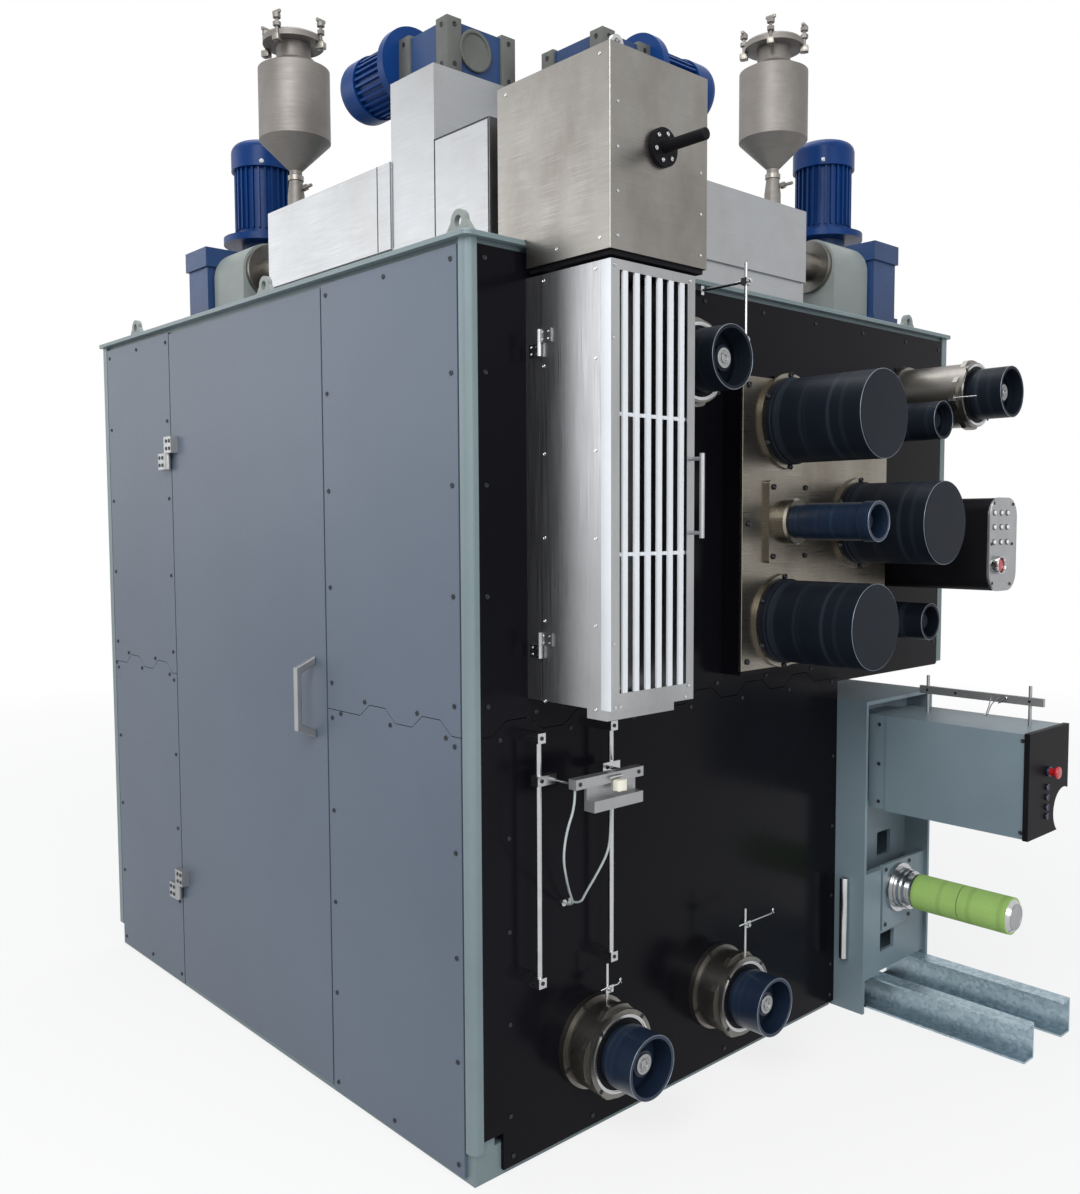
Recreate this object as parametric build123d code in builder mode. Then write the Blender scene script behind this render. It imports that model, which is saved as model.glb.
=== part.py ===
"""Pilot melt spinning machine: cabinet, two screw extruders, spin box, quench box, godets and winder.

Millimetres. The origin lies on the floor under the middle of the cabinet's footprint, with +X to the
right along the working front, +Y to the back and +Z up. Most places are measured from the cabinet's
front left corner at floor level, which is the corner of the working planes set up below.
"""

import os
from math import pi, radians, tan

from build123d import *

os.makedirs("parts", exist_ok=True)

# Cabinet
cabinet_width = 2136
cabinet_depth = 2102
cabinet_height = 2200
skin_depth = 10
sheet = 3
seam_gap = 6
corner_bead = 30
bead_round = 18
post_width = 60
base_height = 80
base_width = 70
top_plate_thickness = 12
top_overhang = 14
top_rail_height = 60
top_reveal = 13
panel_foot = 15
pocket_width = 60
pocket_height = 107
bay_left = 1484
bay_depth = 620

# Toothed seams between the upper and lower panels, and the bay under them at the right
seam_low = cabinet_height - 1138
bay_height = seam_low - 11
tooth_height = 32
tooth_flat = 70
tooth_slope = 43.5
tooth_lead = 34
tooth_gap = 2

# Side door
door_front_edge = 615
door_hinge_edge = 1546
door_frame_tube = 20
hinge_pin_stand = 13
hinge_heights = (361, 1786)
hinge_leaf_width = 44
hinge_leaf_thickness = 24
hinge_leaf_height = 52
hinge_play = 10
hinge_barrel_radius = 11.5
hinge_gap = 0.3
handle_low = 985
handle_high = 1186
handle_inset = 62
handle_stand = 60
handle_bar = 16
handle_slope = 26
handle_width = 18
handle_block = 22

# Lifting lugs
lug_width = 94
lug_thickness = 14
lug_radius = 26
lug_hole_radius = 13
lug_inset = 12
lug_front = 36

# Godet box and plate
godet_box_left = 900
godet_box_right = 1632
godet_box_low = cabinet_height - 1070
godet_box_high = cabinet_height - 238
godet_box_stand = 66
godet_plate_left = 892
godet_plate_right = 1628
godet_plate_low = cabinet_height - 1057
godet_plate_high = cabinet_height - 248
godet_plate_thickness = 9

# Godets and guide rolls: name, x, z, radius and how far the end stands out from the cabinet front
roll_gap = 0.3
roll_shell = 9
roll_recess = 60
small_roll_recess = 40
hub_radius = 20
godets = {
    "upper_godet": (1096, cabinet_height - 362, 122, 382),
    "middle_godet": (1464, cabinet_height - 650, 125, 363),
    "lower_godet": (1076, cabinet_height - 926, 120, 378),
}
godet_flange_step = 14
godet_collar_width = 12
godet_collar_stand = 10
separator_x = 1090
separator_z = cabinet_height - 645
separator_radius = 54.5
separator_reach = 372
separator_bracket_width = 190
separator_bracket_height = 230
separator_bracket_thickness = 14
separator_socket_radius = 66
separator_socket_length = 60
guide_rolls = {
    "lower_left_roll": (388, 240, 79, 205, 118, 104),
    "lower_middle_roll": (882, 240, 79, 205, 118, 104),
    "upper_left_roll": (635, cabinet_height - 243, 79, 240, 112, 138),
    "upper_right_roll": (1868, cabinet_height - 245, 79, 361, 110, 248),
}
housing_flange_thickness = 16
housing_flange_step = 9
housing_flat = 12
small_rolls = {
    "small_upper_roll": (1706, cabinet_height - 332, 59, 222),
    "small_lower_roll": (1706, cabinet_height - 962, 58, 191),
}
small_roll_flare = 8

# Spin box
spin_left = 160
spin_right = 480
spin_front = 285
spin_back = 80
spin_low = cabinet_height - 66
spin_high = cabinet_height + 360
spin_step_back = 5
spin_flange_radius = 42
spin_flange_thickness = 12
spin_rod_radius = 13
spin_rod_length = 128
spin_rod_z = cabinet_height + 172
eye_radius = 19
eye_hole_radius = 11
eye_thickness = 9
eye_inset = 60
eye_setback = 40

# Quench box
quench_left = 174
quench_right = 450
quench_front = 275
quench_hinge_line = 51
quench_low = cabinet_height - 1059
quench_high = spin_low - 17
quench_wall = 3
quench_seam = 1.5
quench_hinge_heights = (quench_low + 130, quench_high - 153)
quench_hinge_height = 30
quench_hinge_leaf = 36
quench_hinge_thickness = 4
quench_hinge_radius = 6
quench_frame_width = 26
quench_bottom_band = 34
slat_count = 6
slat_width = 15
slat_depth = 6
slat_bar_height = 8
quench_lip_width = 222
quench_lip_depth = 62
quench_lip_setback = 13
quench_lip_drop = 22
quench_handle_low = quench_low + 389
quench_handle_high = quench_low + 559
quench_handle_stand = 34
quench_handle_radius = 6
quench_handle_post = 4.5

# Extruder trains
train_axis_height = 160
left_train_x = 240
left_cover_start = 512
left_cover_end = 1165
left_hopper_inset = 26
right_train_y = 243
right_cover_start = 731
right_cover_end = 1517
right_hopper_inset = 66
right_train_lift = 45
cover_width = 168
cover_low = 76
cover_high = 300
rail_width = 150
rail_height = 76
hopper_radius = 108
hopper_body_low = 524
hopper_body_high = 736
hopper_shoulder = 766
hopper_neck_radius = 52
hopper_neck_high = 822
hopper_cone_low = 437
hopper_spout_radius = 19
hopper_foot_radius = 26
hopper_foot_high = 421
hopper_rim_radius = 92
hopper_rim_height = 11
hopper_foot_rise = 60
hopper_wall = 3
lid_edge = 11
lid_clamp_count = 4
clamp_bolt_radius = 5
clamp_nut_radius = 12
clamp_height = 46
clamp_drop = 34
clamp_nut_height = 12
coupling_offset = 150
gearbox_offset = 350
coupling_radius = 92
coupling_flange_radius = 84
coupling_flange_thickness = 22
barrel_radius = 46
gearbox_length = 152
gearbox_half_width = 120
gearbox_high = 262
gearbox_cap_height = 62
gearbox_cap_lip = 8
gearbox_motor_side = 125
motor_flange_radius = 137
motor_flange_low = 306
motor_setback = 20
motor_neck_radius = 76
motor_flange_thickness = 22
motor_body_radius = 98
motor_cowl_radius = 107
motor_body_low = 352
motor_cowl_low = 553
motor_high = 645
motor_cowl_round = 34
motor_fin_count = 28
motor_fin_depth = 9
motor_fin_width = 6

# Metering pump drives
pump_box_left = 160
pump_box_right = 422
pump_box_front = 325
pump_box_back = 512
pump_box_high = 497
link_box_front = 110
link_box_high = 310
second_box_left = 548
second_box_right = 731
second_box_front = 119
second_box_back = 352
second_link_left = 500
second_link_back = 330
second_link_high = 300
pump_gearbox_height = 133
pump_gearbox_margin = 12
pump_gearbox_block = 46
pump_gearbox_block_lip = 7
pump_motor_x = 262
pump_motor_start = 540
pump_motor_rise = 8
pump_motor_flange_radius = 107
pump_motor_flange_thickness = 25
pump_motor_body_radius = 82
pump_motor_cowl_radius = 86
pump_motor_cowl_start = 175
pump_motor_length = 262
second_motor_y = 178

# Yarn finishing station on the front
finish_rod_left = 167
finish_rod_right = 410
finish_rod_radius = 7
finish_rod_low = 455
finish_rod_high = quench_low - 76
finish_rod_stand = 45
finish_clamp = 24
finish_clamp_length = 60
finish_arm_z = finish_rod_high - 113
finish_arm_radius = 4
finish_arm_shifts = (33, -20)
finish_bar_left = 195
finish_bar_length = 228
finish_bar_section = 24
finish_bar_stand = 118
finish_block_left = 245
finish_block_length = 166
finish_block_height = 27
finish_block_depth = 34
finish_block_drop = 33
finish_block_plate = 8

# Hoses of the finishing station: places along each route as x, stand from the front and height
hose_radius = 3
hose_gland_radius = 8
hose_gland_length = 8
hose_left_route = (
    (203, 130, finish_arm_z - finish_bar_section / 2),
    (203, 130, finish_arm_z - 52),
    (182, 124, finish_arm_z - 107),
    (178, 116, finish_arm_z - 172),
    (205, 98, finish_arm_z - 230),
    (245, 66, finish_arm_z - 278),
    (284, 44, finish_arm_z - 330),
    (284, hose_gland_length, finish_arm_z - 330),
)
hose_right_route = (
    (322, 130, finish_arm_z - 72),
    (322, 130, finish_arm_z - 116),
    (324, 122, finish_arm_z - 182),
    (310, 94, finish_arm_z - 244),
    (306, 62, finish_arm_z - 294),
    (304, 42, finish_arm_z - 330),
    (304, hose_gland_length, finish_arm_z - 330),
)

# Yarn guides on the lower rolls' housings: housing, x, stand, rod's top, clamp and cross rod's ends
guide_rod_radius = 4
guide_clamp = 18
guide_places = (
    ("lower_left_roll", 386, 55, 456, 392, 362, 426),
    ("lower_middle_roll", 891, 96, 485, 441, 863, 1012),
)
upper_guide_x = 799
upper_guide_drop = 26
upper_guide_stand = 152
upper_guide_top = 22
upper_guide_length = 191
upper_guide_foot = 24
side_guide_drop = 262
side_guide_length = 90

# Control box
control_left = 1734
control_right = 1911
control_low = cabinet_height - 862
control_high = cabinet_height - 573
control_reach = 366
control_corner = 40
control_plate_thickness = 10
control_plate_corner = 62

# Winder
winder_left = 1484
winder_right = 1886
winder_front = 105
winder_back = 250
winder_high = bay_height - 55
winder_plate = 12
spindle_x = 1684
spindle_z = 370
winder_window_x = 1740
winder_window_z = spindle_z + 115
winder_window = 82
winder_back_plate = 20
winder_strip_width = 99
winder_strip_high = spindle_z + 77
bearing_plate_width = 176
bearing_plate_high = spindle_z + 85
bearing_plate_low = spindle_z - 128
winder_slot_width = 100
winder_slot_x = 1637
winder_slot_low = 168
winder_slot_high = 228
bearing_rings = ((78, 14), (67, 9), (60, 7), (64, 9), (57, 7), (61, 9))
collar_radius = 46
tube_start = 182
tube_length = 150
tube_radius = 56
tube_gap = 3
chuck_radius = 50.5
chuck_end = 495
head_left = 1556
head_right = 1812
head_high = winder_high - 47
head_low = head_high - 303
head_rear = 70
head_front = 582
head_cover_thickness = 16
head_flange_width = 60
head_sheet_step = 3
notch_x = 1788
notch_z = head_low + 51
notch_radius = 68
slide_plate_width = 120
winder_rod_x = 1700
winder_rod_radius = 5
winder_rod_high = head_high + 119
winder_rod_ys = (191, 515)
winder_bar_z = head_high + 73
winder_bar_height = 24
winder_bar_width = 12
winder_bar_rear = 165
winder_bar_front = 556
rail_left_x = 1541
rail_right_x = 1788
channel_width = 58
channel_height = 106
channel_wall = 6
channel_front = 594
cylinder_radius = 13
cylinder_low = 174
cylinder_high = 428
cylinder_stand = 44
cylinder_gap = 3
cylinder_foot = 18

# Working planes. Front planes look at the machine from the front: x to the right, y up, outwards +z.
left = -cabinet_width / 2
front = -cabinet_depth / 2
floor = Plane(origin=(left, front, 0))
deck = Plane(origin=(left, front, cabinet_height))
front_wall = Plane(origin=(left, front, 0), x_dir=(1, 0, 0), z_dir=(0, -1, 0))
back_wall = Plane(origin=(left, front + cabinet_depth, 0), x_dir=(1, 0, 0), z_dir=(0, -1, 0))
left_wall = Plane(origin=(left, front, 0), x_dir=(0, 1, 0), z_dir=(1, 0, 0))
right_wall = Plane(origin=(left + cabinet_width, front, 0), x_dir=(0, 1, 0), z_dir=(1, 0, 0))
panel_top = cabinet_height - top_plate_thickness - top_reveal
tooth_pitch = 2 * tooth_flat + 2 * tooth_slope
left_train = Plane(origin=(left + left_train_x, front, cabinet_height), x_dir=(0, 1, 0))
right_train = Plane(
    origin=(left, front + right_train_y, cabinet_height + right_train_lift), x_dir=(1, 0, 0)
)


def keep(piece, label):
    """Name a finished piece and write it to a file of its own."""
    piece.part.label = label
    export_step(piece.part, f"parts/{label}.step")


def front_axis(x, z, stand=0):
    """Plane square to the front at a point of it, standing out from the cabinet front."""
    return Plane(origin=(left + x, front - stand, z), x_dir=(1, 0, 0), z_dir=(0, -1, 0))


def seam_points(start, end, lift, trim=0):
    """Corners of the toothed seam between two panel edges, moved up by lift and cut short by trim."""
    low = seam_low + lift
    high = low + tooth_height
    points = [(start + trim, low)]
    reach = start + tooth_lead
    while reach + 2 * tooth_slope + tooth_flat < end:
        points.append((reach, low))
        points.append((reach + tooth_slope, high))
        points.append((reach + tooth_slope + tooth_flat, high))
        points.append((reach + 2 * tooth_slope + tooth_flat, low))
        reach += tooth_pitch
    points.append((end - trim, low))
    return points


def panel_outline(start, end, level, lift, trim=0):
    """Outline of a panel between two edges, from a level edge to the toothed seam."""
    inset = trim if level < seam_low else -trim
    return [(end - trim, level + inset), (start + trim, level + inset)] + seam_points(start, end, lift, trim)


def tray(wall, outline, pocket, inwards):
    """Sheet metal panel with returned edges, from its outline and its pocket's on a wall plane."""
    with BuildPart() as panel:
        with BuildSketch(wall):
            with BuildLine():
                Polyline(*outline, close=True)
            make_face()
        extrude(amount=inwards * skin_depth)
        with BuildSketch(wall.offset(inwards * sheet)):
            with BuildLine():
                Polyline(*pocket, close=True)
            make_face()
        extrude(amount=inwards * skin_depth, mode=Mode.SUBTRACT)
    return panel.part


def split_panels(wall, start, end, inwards):
    """Lower and upper tray between two edges of a wall, parted by the toothed seam."""
    lower = tray(
        wall,
        panel_outline(start, end, panel_foot, 0),
        panel_outline(start, end, panel_foot, -sheet, sheet),
        inwards,
    )
    upper = tray(
        wall,
        panel_outline(start, end, panel_top, tooth_gap),
        panel_outline(start, end, panel_top, tooth_gap + sheet, sheet),
        inwards,
    )
    return [lower, upper]


# Base frame: welded channel round the footprint, with two beams that cross under the middle
footprint = [
    (skin_depth, skin_depth),
    (bay_left - skin_depth, skin_depth),
    (bay_left - skin_depth, bay_depth + skin_depth),
    (cabinet_width - skin_depth, bay_depth + skin_depth),
    (cabinet_width - skin_depth, cabinet_depth - skin_depth),
    (skin_depth, cabinet_depth - skin_depth),
]
with BuildPart() as base_frame:
    with BuildSketch(floor):
        with BuildLine():
            Polyline(*footprint, close=True)
        make_face()
        offset(amount=-base_width, kind=Kind.INTERSECTION, mode=Mode.SUBTRACT)
        with Locations((cabinet_width / 2, cabinet_depth / 2)):
            Rectangle(cabinet_width - base_width, base_width)
            Rectangle(base_width, cabinet_depth - base_width)
    extrude(amount=base_height)
keep(base_frame, "base_frame")


# Frame: corner posts with a rounded bead, mullions and top rails, all of square tube
post_low = base_height
post_high = cabinet_height - top_plate_thickness
rail_low = panel_top - top_rail_height
post_corners = {
    "front_left": (0, 0, 1, 1, post_low),
    "front_right": (cabinet_width, 0, -1, 1, bay_height + skin_depth),
    "back_left": (0, cabinet_depth, 1, -1, post_low),
    "back_right": (cabinet_width, cabinet_depth, -1, -1, post_low),
}
with BuildPart() as frame_posts:
    for corner_x, corner_y, to_x, to_y, low in post_corners.values():
        with BuildSketch(floor.offset(low)):
            with Locations((corner_x + to_x * corner_bead / 2, corner_y + to_y * corner_bead / 2)):
                Rectangle(corner_bead, corner_bead)
            with Locations(
                (
                    corner_x + to_x * (skin_depth + post_width / 2),
                    corner_y + to_y * (skin_depth + post_width / 2),
                )
            ):
                Rectangle(post_width, post_width)
            outer = vertices().sort_by_distance((left + corner_x, front + corner_y, low))[0]
            fillet(outer, radius=bead_round)
        extrude(amount=post_high - low)
    for x, y, low in (
        (bay_left - skin_depth - post_width / 2, skin_depth + post_width / 2, post_low),
        (cabinet_width - skin_depth - post_width / 2, bay_depth + skin_depth + post_width / 2, post_low),
        (skin_depth + post_width / 2, door_front_edge - seam_gap - post_width / 2, post_low),
        (skin_depth + post_width / 2, door_hinge_edge + seam_gap + post_width / 2, post_low),
    ):
        with BuildSketch(floor.offset(low)):
            with Locations((x, y)):
                Rectangle(post_width, post_width)
        extrude(amount=rail_low - low)
    with BuildSketch(floor.offset(rail_low)):
        with Locations((cabinet_width / 2, cabinet_depth / 2)):
            Rectangle(cabinet_width - 2 * skin_depth, cabinet_depth - 2 * skin_depth)
            Rectangle(
                cabinet_width - 2 * skin_depth - 2 * post_width,
                cabinet_depth - 2 * skin_depth - 2 * post_width,
                mode=Mode.SUBTRACT,
            )
    extrude(amount=post_high - rail_low)
    with BuildSketch(floor.offset(bay_height + skin_depth)):
        with Locations(((bay_left - skin_depth + cabinet_width) / 2, skin_depth + post_width / 2)):
            Rectangle(cabinet_width - bay_left - skin_depth, post_width)
        with Locations((cabinet_width - skin_depth - post_width / 2, (bay_depth + post_width) / 2)):
            Rectangle(post_width, bay_depth + post_width - 2 * skin_depth)
    extrude(amount=post_width)
keep(frame_posts, "frame_posts")

# Top plate with its overhanging edge
with BuildPart() as top_plate:
    with BuildSketch(deck.offset(-top_plate_thickness)):
        with Locations((cabinet_width / 2, cabinet_depth / 2)):
            Rectangle(cabinet_width + 2 * top_overhang, cabinet_depth + 2 * top_overhang)
        fillet(vertices(), radius=bead_round)
    extrude(amount=top_plate_thickness)
    chamfer(faces().sort_by(Axis.Z)[-1].edges(), length=top_plate_thickness / 6)
keep(top_plate, "top_plate")

# Lifting lugs round the edge of the top plate
along_side = ((0, 1, 0), (1, 0, 0))
along_front = ((1, 0, 0), (0, -1, 0))
lug_places = [
    (lug_inset, lug_front, along_side),
    (lug_inset, 923, along_side),
    (lug_inset, 1824, along_side),
    (1930, lug_front, along_front),
    (cabinet_width - lug_inset, 923, along_side),
    (cabinet_width - lug_inset, 1824, along_side),
]
with BuildPart() as lifting_lugs:
    for x, y, (along, square) in lug_places:
        lug_plane = Plane(origin=(left + x, front + y, cabinet_height), x_dir=along, z_dir=square)
        with BuildSketch(lug_plane):
            with Locations((0, lug_radius)):
                Circle(lug_radius)
            with BuildLine():
                Polyline(
                    (-lug_width / 2, 0),
                    (lug_width / 2, 0),
                    (lug_radius, lug_radius),
                    (-lug_radius, lug_radius),
                    close=True,
                )
            make_face()
            with Locations((0, lug_radius)):
                Circle(lug_hole_radius, mode=Mode.SUBTRACT)
        extrude(amount=lug_thickness / 2, both=True)
keep(lifting_lugs, "lifting_lugs")


# Left wall: fixed panels each side of the door, split by toothed seams
rear_panel_start = door_hinge_edge + seam_gap
rear_panel_end = cabinet_depth - corner_bead - seam_gap
front_panel_start = corner_bead + seam_gap
front_panel_end = door_front_edge - seam_gap
with BuildPart() as left_panels:
    for start, end in ((front_panel_start, front_panel_end), (rear_panel_start, rear_panel_end)):
        add(split_panels(left_wall, start, end, 1))
keep(left_panels, "left_panels")

# Side door: one sheet over the whole opening, stiffened by a frame of square tube
door_middle = (door_front_edge + door_hinge_edge) / 2
door_width = door_hinge_edge - door_front_edge
door_low = panel_foot + seam_gap
door_high = panel_top - seam_gap
stiffener_width = door_width - 2 * post_width / 3
stiffener_low = base_height + seam_gap
stiffener_high = rail_low - seam_gap
with BuildPart() as side_door:
    with BuildSketch(left_wall):
        with Locations((door_middle, (door_low + door_high) / 2)):
            Rectangle(door_width, door_high - door_low)
    extrude(amount=sheet)
    with BuildSketch(left_wall.offset(sheet)):
        with Locations((door_middle, (stiffener_low + stiffener_high) / 2)):
            Rectangle(stiffener_width, stiffener_high - stiffener_low)
            Rectangle(
                stiffener_width - 2 * door_frame_tube,
                stiffener_high - stiffener_low - 2 * door_frame_tube,
                mode=Mode.SUBTRACT,
            )
        with Locations((door_middle, (stiffener_low + stiffener_high) / 2)):
            Rectangle(stiffener_width, door_frame_tube)
    extrude(amount=door_frame_tube)
keep(side_door, "side_door")


def hinge_leaf(middle, height, on_door):
    """One block leaf with its half of the barrel round the pin line; the door's leaf is the upper."""
    lift = hinge_leaf_height / 2 + hinge_gap / 2
    z = height + lift if on_door else height - lift
    side = -1 if on_door else 1
    with BuildPart() as leaf:
        with BuildSketch(Plane(origin=(left, front + middle, z - hinge_leaf_height / 2))):
            with Locations((-hinge_pin_stand, 0)):
                Circle(hinge_barrel_radius)
            with Locations((-hinge_leaf_thickness / 2, side * (hinge_play + hinge_leaf_width) / 2)):
                Rectangle(hinge_leaf_thickness, hinge_leaf_width)
        extrude(amount=hinge_leaf_height)
    return leaf.part


# Door hinges: the frame's leaves stay on the rear panel, the door's leaves ride on the door
hinge_line = (door_hinge_edge + rear_panel_start) / 2
with BuildPart() as frame_hinges:
    for height in hinge_heights:
        add(hinge_leaf(hinge_line, height, False))
keep(frame_hinges, "frame_hinges")
with BuildPart() as door_hinges:
    for height in hinge_heights:
        add(hinge_leaf(hinge_line, height, True))
keep(door_hinges, "door_hinges")

# Door handle: a bow whose oblique arms carry a straight grip
handle_y = door_front_edge + handle_inset
handle_plane = Plane(origin=(left, front + handle_y, 0), x_dir=(-1, 0, 0), z_dir=(0, 1, 0))
handle_inner = handle_stand - handle_bar
with BuildPart() as door_handle:
    with BuildSketch(handle_plane):
        with BuildLine():
            Polyline(
                (0, handle_low - handle_block / 2),
                (handle_stand, handle_low + handle_slope - handle_block / 2),
                (handle_stand, handle_high - handle_slope + handle_block / 2),
                (0, handle_high + handle_block / 2),
                (0, handle_high - handle_block / 2),
                (handle_inner, handle_high - handle_slope - handle_block / 4),
                (handle_inner, handle_low + handle_slope + handle_block / 4),
                (0, handle_low + handle_block / 2),
                close=True,
            )
        make_face()
    extrude(amount=handle_width / 2, both=True)
    chamfer(faces().filter_by(Axis.Y).edges(), length=handle_width / 6)
keep(door_handle, "door_handle")


# Front wall: glossy panels split by the toothed seam, with a pocket at the foot of the corner post
front_start = corner_bead
front_end = cabinet_width - corner_bead - seam_gap


def lower_front_outline(trim):
    """Lower front panel: notched at the foot of the corner post, toothed along the top."""
    return [
        (bay_left - trim, panel_foot + trim),
        (front_start + pocket_width + trim, panel_foot + trim),
        (front_start + pocket_width + trim, pocket_height + trim),
        (front_start + trim, pocket_height + trim),
    ] + seam_points(front_start, bay_left, -trim, trim)


def upper_front_outline(trim):
    """Upper front panel: over the whole width, lower where it meets the winder bay."""
    return [
        (front_end - trim, bay_height + trim),
        (front_end - trim, panel_top - trim),
        (front_start + trim, panel_top - trim),
    ] + seam_points(front_start, bay_left, tooth_gap + trim, trim) + [(bay_left - trim, bay_height + trim)]


with BuildPart() as front_panels:
    add(tray(front_wall, lower_front_outline(0), lower_front_outline(sheet), -1))
    add(tray(front_wall, upper_front_outline(0), upper_front_outline(sheet), -1))
keep(front_panels, "front_panels")

# Right wall: one tall panel behind the winder bay and one over it, split by a toothed seam
right_start = corner_bead + seam_gap
right_end = cabinet_depth - corner_bead - seam_gap
low_start = bay_depth + seam_gap


def upper_right_outline(trim):
    """Upper right panel: over the winder bay as well as the closed part of the wall."""
    return [
        (right_end - trim, panel_top - trim),
        (right_start + trim, panel_top - trim),
        (right_start + trim, bay_height + trim),
        (low_start - trim, bay_height + trim),
    ] + seam_points(low_start, right_end, tooth_gap + trim, trim)


with BuildPart() as right_panels:
    lower = panel_outline(low_start, right_end, panel_foot, 0)
    pocket = panel_outline(low_start, right_end, panel_foot, -sheet, sheet)
    add(tray(right_wall, lower, pocket, -1))
    add(tray(right_wall, upper_right_outline(0), upper_right_outline(sheet), -1))
keep(right_panels, "right_panels")

# Back wall: three bays like the left wall
back_edges = (right_start, cabinet_width / 3, 2 * cabinet_width / 3, cabinet_width - corner_bead)
with BuildPart() as back_panels:
    for start, next_start in zip(back_edges, back_edges[1:]):
        end = next_start - seam_gap
        add(split_panels(back_wall, start, end, 1))
keep(back_panels, "back_panels")

# Winder bay: side wall, back wall and ceiling of plain sheet
with BuildPart() as bay_walls:
    with BuildSketch(floor.offset(panel_foot)):
        with Locations((bay_left - skin_depth / 2, (skin_depth + bay_depth) / 2)):
            Rectangle(skin_depth, bay_depth - skin_depth)
        with Locations(((bay_left + cabinet_width - corner_bead) / 2, bay_depth + skin_depth / 2)):
            Rectangle(cabinet_width - bay_left - corner_bead, skin_depth)
    extrude(amount=bay_height - panel_foot)
    with BuildSketch(floor.offset(bay_height)):
        with Locations(((bay_left - skin_depth + cabinet_width) / 2, bay_depth / 2 + skin_depth)):
            Rectangle(cabinet_width - bay_left - skin_depth, bay_depth)
    extrude(amount=skin_depth)
keep(bay_walls, "bay_walls")


# Godet box standing out from the front, and its steel plate
with BuildPart() as godet_box:
    with BuildSketch(front_wall):
        with Locations(
            ((godet_box_left + godet_box_right) / 2, (godet_box_low + godet_box_high) / 2)
        ):
            Rectangle(godet_box_right - godet_box_left, godet_box_high - godet_box_low)
    extrude(amount=godet_box_stand)
    fillet(edges().filter_by(Axis.Y), radius=sheet)
keep(godet_box, "godet_box")

plate_face = godet_box_stand + godet_plate_thickness
with BuildPart() as godet_plate:
    with BuildSketch(front_wall.offset(godet_box_stand)):
        with Locations(
            ((godet_plate_left + godet_plate_right) / 2, (godet_plate_low + godet_plate_high) / 2)
        ):
            Rectangle(godet_plate_right - godet_plate_left, godet_plate_high - godet_plate_low)
    extrude(amount=godet_plate_thickness)
    chamfer(faces().sort_by(Axis.Y)[0].edges(), length=1)
    for x, z, radius, reach in godets.values():
        with BuildSketch(front_axis(x, z, plate_face)):
            Circle(radius + godet_collar_width)
            Circle(radius - 2 * godet_collar_width, mode=Mode.SUBTRACT)
        extrude(amount=godet_collar_stand)
    with BuildSketch(front_axis(separator_x, separator_z, plate_face)):
        RectangleRounded(separator_bracket_width, separator_bracket_height, 8)
    extrude(amount=separator_bracket_thickness)
    with BuildSketch(front_axis(separator_x, separator_z, plate_face + separator_bracket_thickness)):
        Circle(separator_socket_radius)
    extrude(amount=separator_socket_length / 2)
    socket_face = faces().sort_by(Axis.Y)[0]
    chamfer(socket_face.edges(), length=6)
keep(godet_plate, "godet_plate")


def turned(name, x, z, base, outline):
    """Piece turned about an axis square to the front, from half its outline (radius, stand)."""
    axis_plane = Plane(origin=(left + x, front, z), x_dir=(1, 0, 0), z_dir=(0, 0, 1))
    with BuildPart() as piece:
        with BuildSketch(axis_plane):
            with BuildLine():
                Polyline(*[(radius, -(base + stand)) for radius, stand in outline], close=True)
            make_face()
        revolve(axis=Axis((left + x, front, z), (0, -1, 0)))
    keep(piece, name)
    return piece


# Large godets: closed drums with a stepped rim at the plate
for name, (x, z, radius, reach) in godets.items():
    base = plate_face + godet_collar_stand + roll_gap
    length = reach - base
    turned(name, x, z, base, [
        (0, 0),
        (radius, 0),
        (radius, godet_flange_step),
        (radius - 4, godet_flange_step + 2),
        (radius - 4, length - 3),
        (radius - 7, length),
        (0, length),
    ])

# Separator roll on the bracket: a tube with an open mouth
separator_base = plate_face + separator_bracket_thickness + separator_socket_length / 2 + roll_gap
separator_length = separator_reach - separator_base
turned("separator_roll", separator_x, separator_z, separator_base, [
    (0, 0),
    (separator_radius - 6, 0),
    (separator_radius - 6, 30),
    (separator_radius - 3, 34),
    (separator_radius - 3, separator_length - 40),
    (separator_radius, separator_length - 36),
    (separator_radius, separator_length),
    (separator_radius - roll_shell, separator_length),
    (separator_radius - roll_shell, separator_length - roll_recess),
    (hub_radius, separator_length - roll_recess),
    (hub_radius, separator_length - roll_recess / 2),
    (0, separator_length - roll_recess / 2),
])

# Guide rolls: open mouthed cups that run on a hub, each in front of its own bearing housing
for name, (x, z, radius, reach, housing_radius, housing_length) in guide_rolls.items():
    base = housing_length + roll_gap
    length = reach - base
    turned(name, x, z, base, [
        (0, 0),
        (radius - 6, 0),
        (radius - 6, 12),
        (radius, 16),
        (radius, length),
        (radius - roll_shell, length),
        (radius - roll_shell, length - roll_recess),
        (hub_radius * 1.6, length - roll_recess),
        (hub_radius * 1.6, length - roll_recess / 2),
        (0, length - roll_recess / 2),
    ])
with BuildPart() as roll_housings:
    for x, z, radius, reach, housing_radius, housing_length in guide_rolls.values():
        with BuildSketch(front_axis(x, z)):
            Circle(housing_radius - housing_flange_step)
        extrude(amount=housing_length)
        with BuildSketch(front_axis(x, z, housing_length - 2 * housing_flange_thickness)):
            Circle(housing_radius)
            with PolarLocations(housing_radius, 4, start_angle=45):
                Rectangle(2 * housing_flat, 2 * housing_radius, mode=Mode.SUBTRACT)
        extrude(amount=housing_flange_thickness)
        with BuildSketch(front_axis(x, z)):
            Circle(housing_radius)
        extrude(amount=housing_flange_thickness)
keep(roll_housings, "roll_housings")

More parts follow.
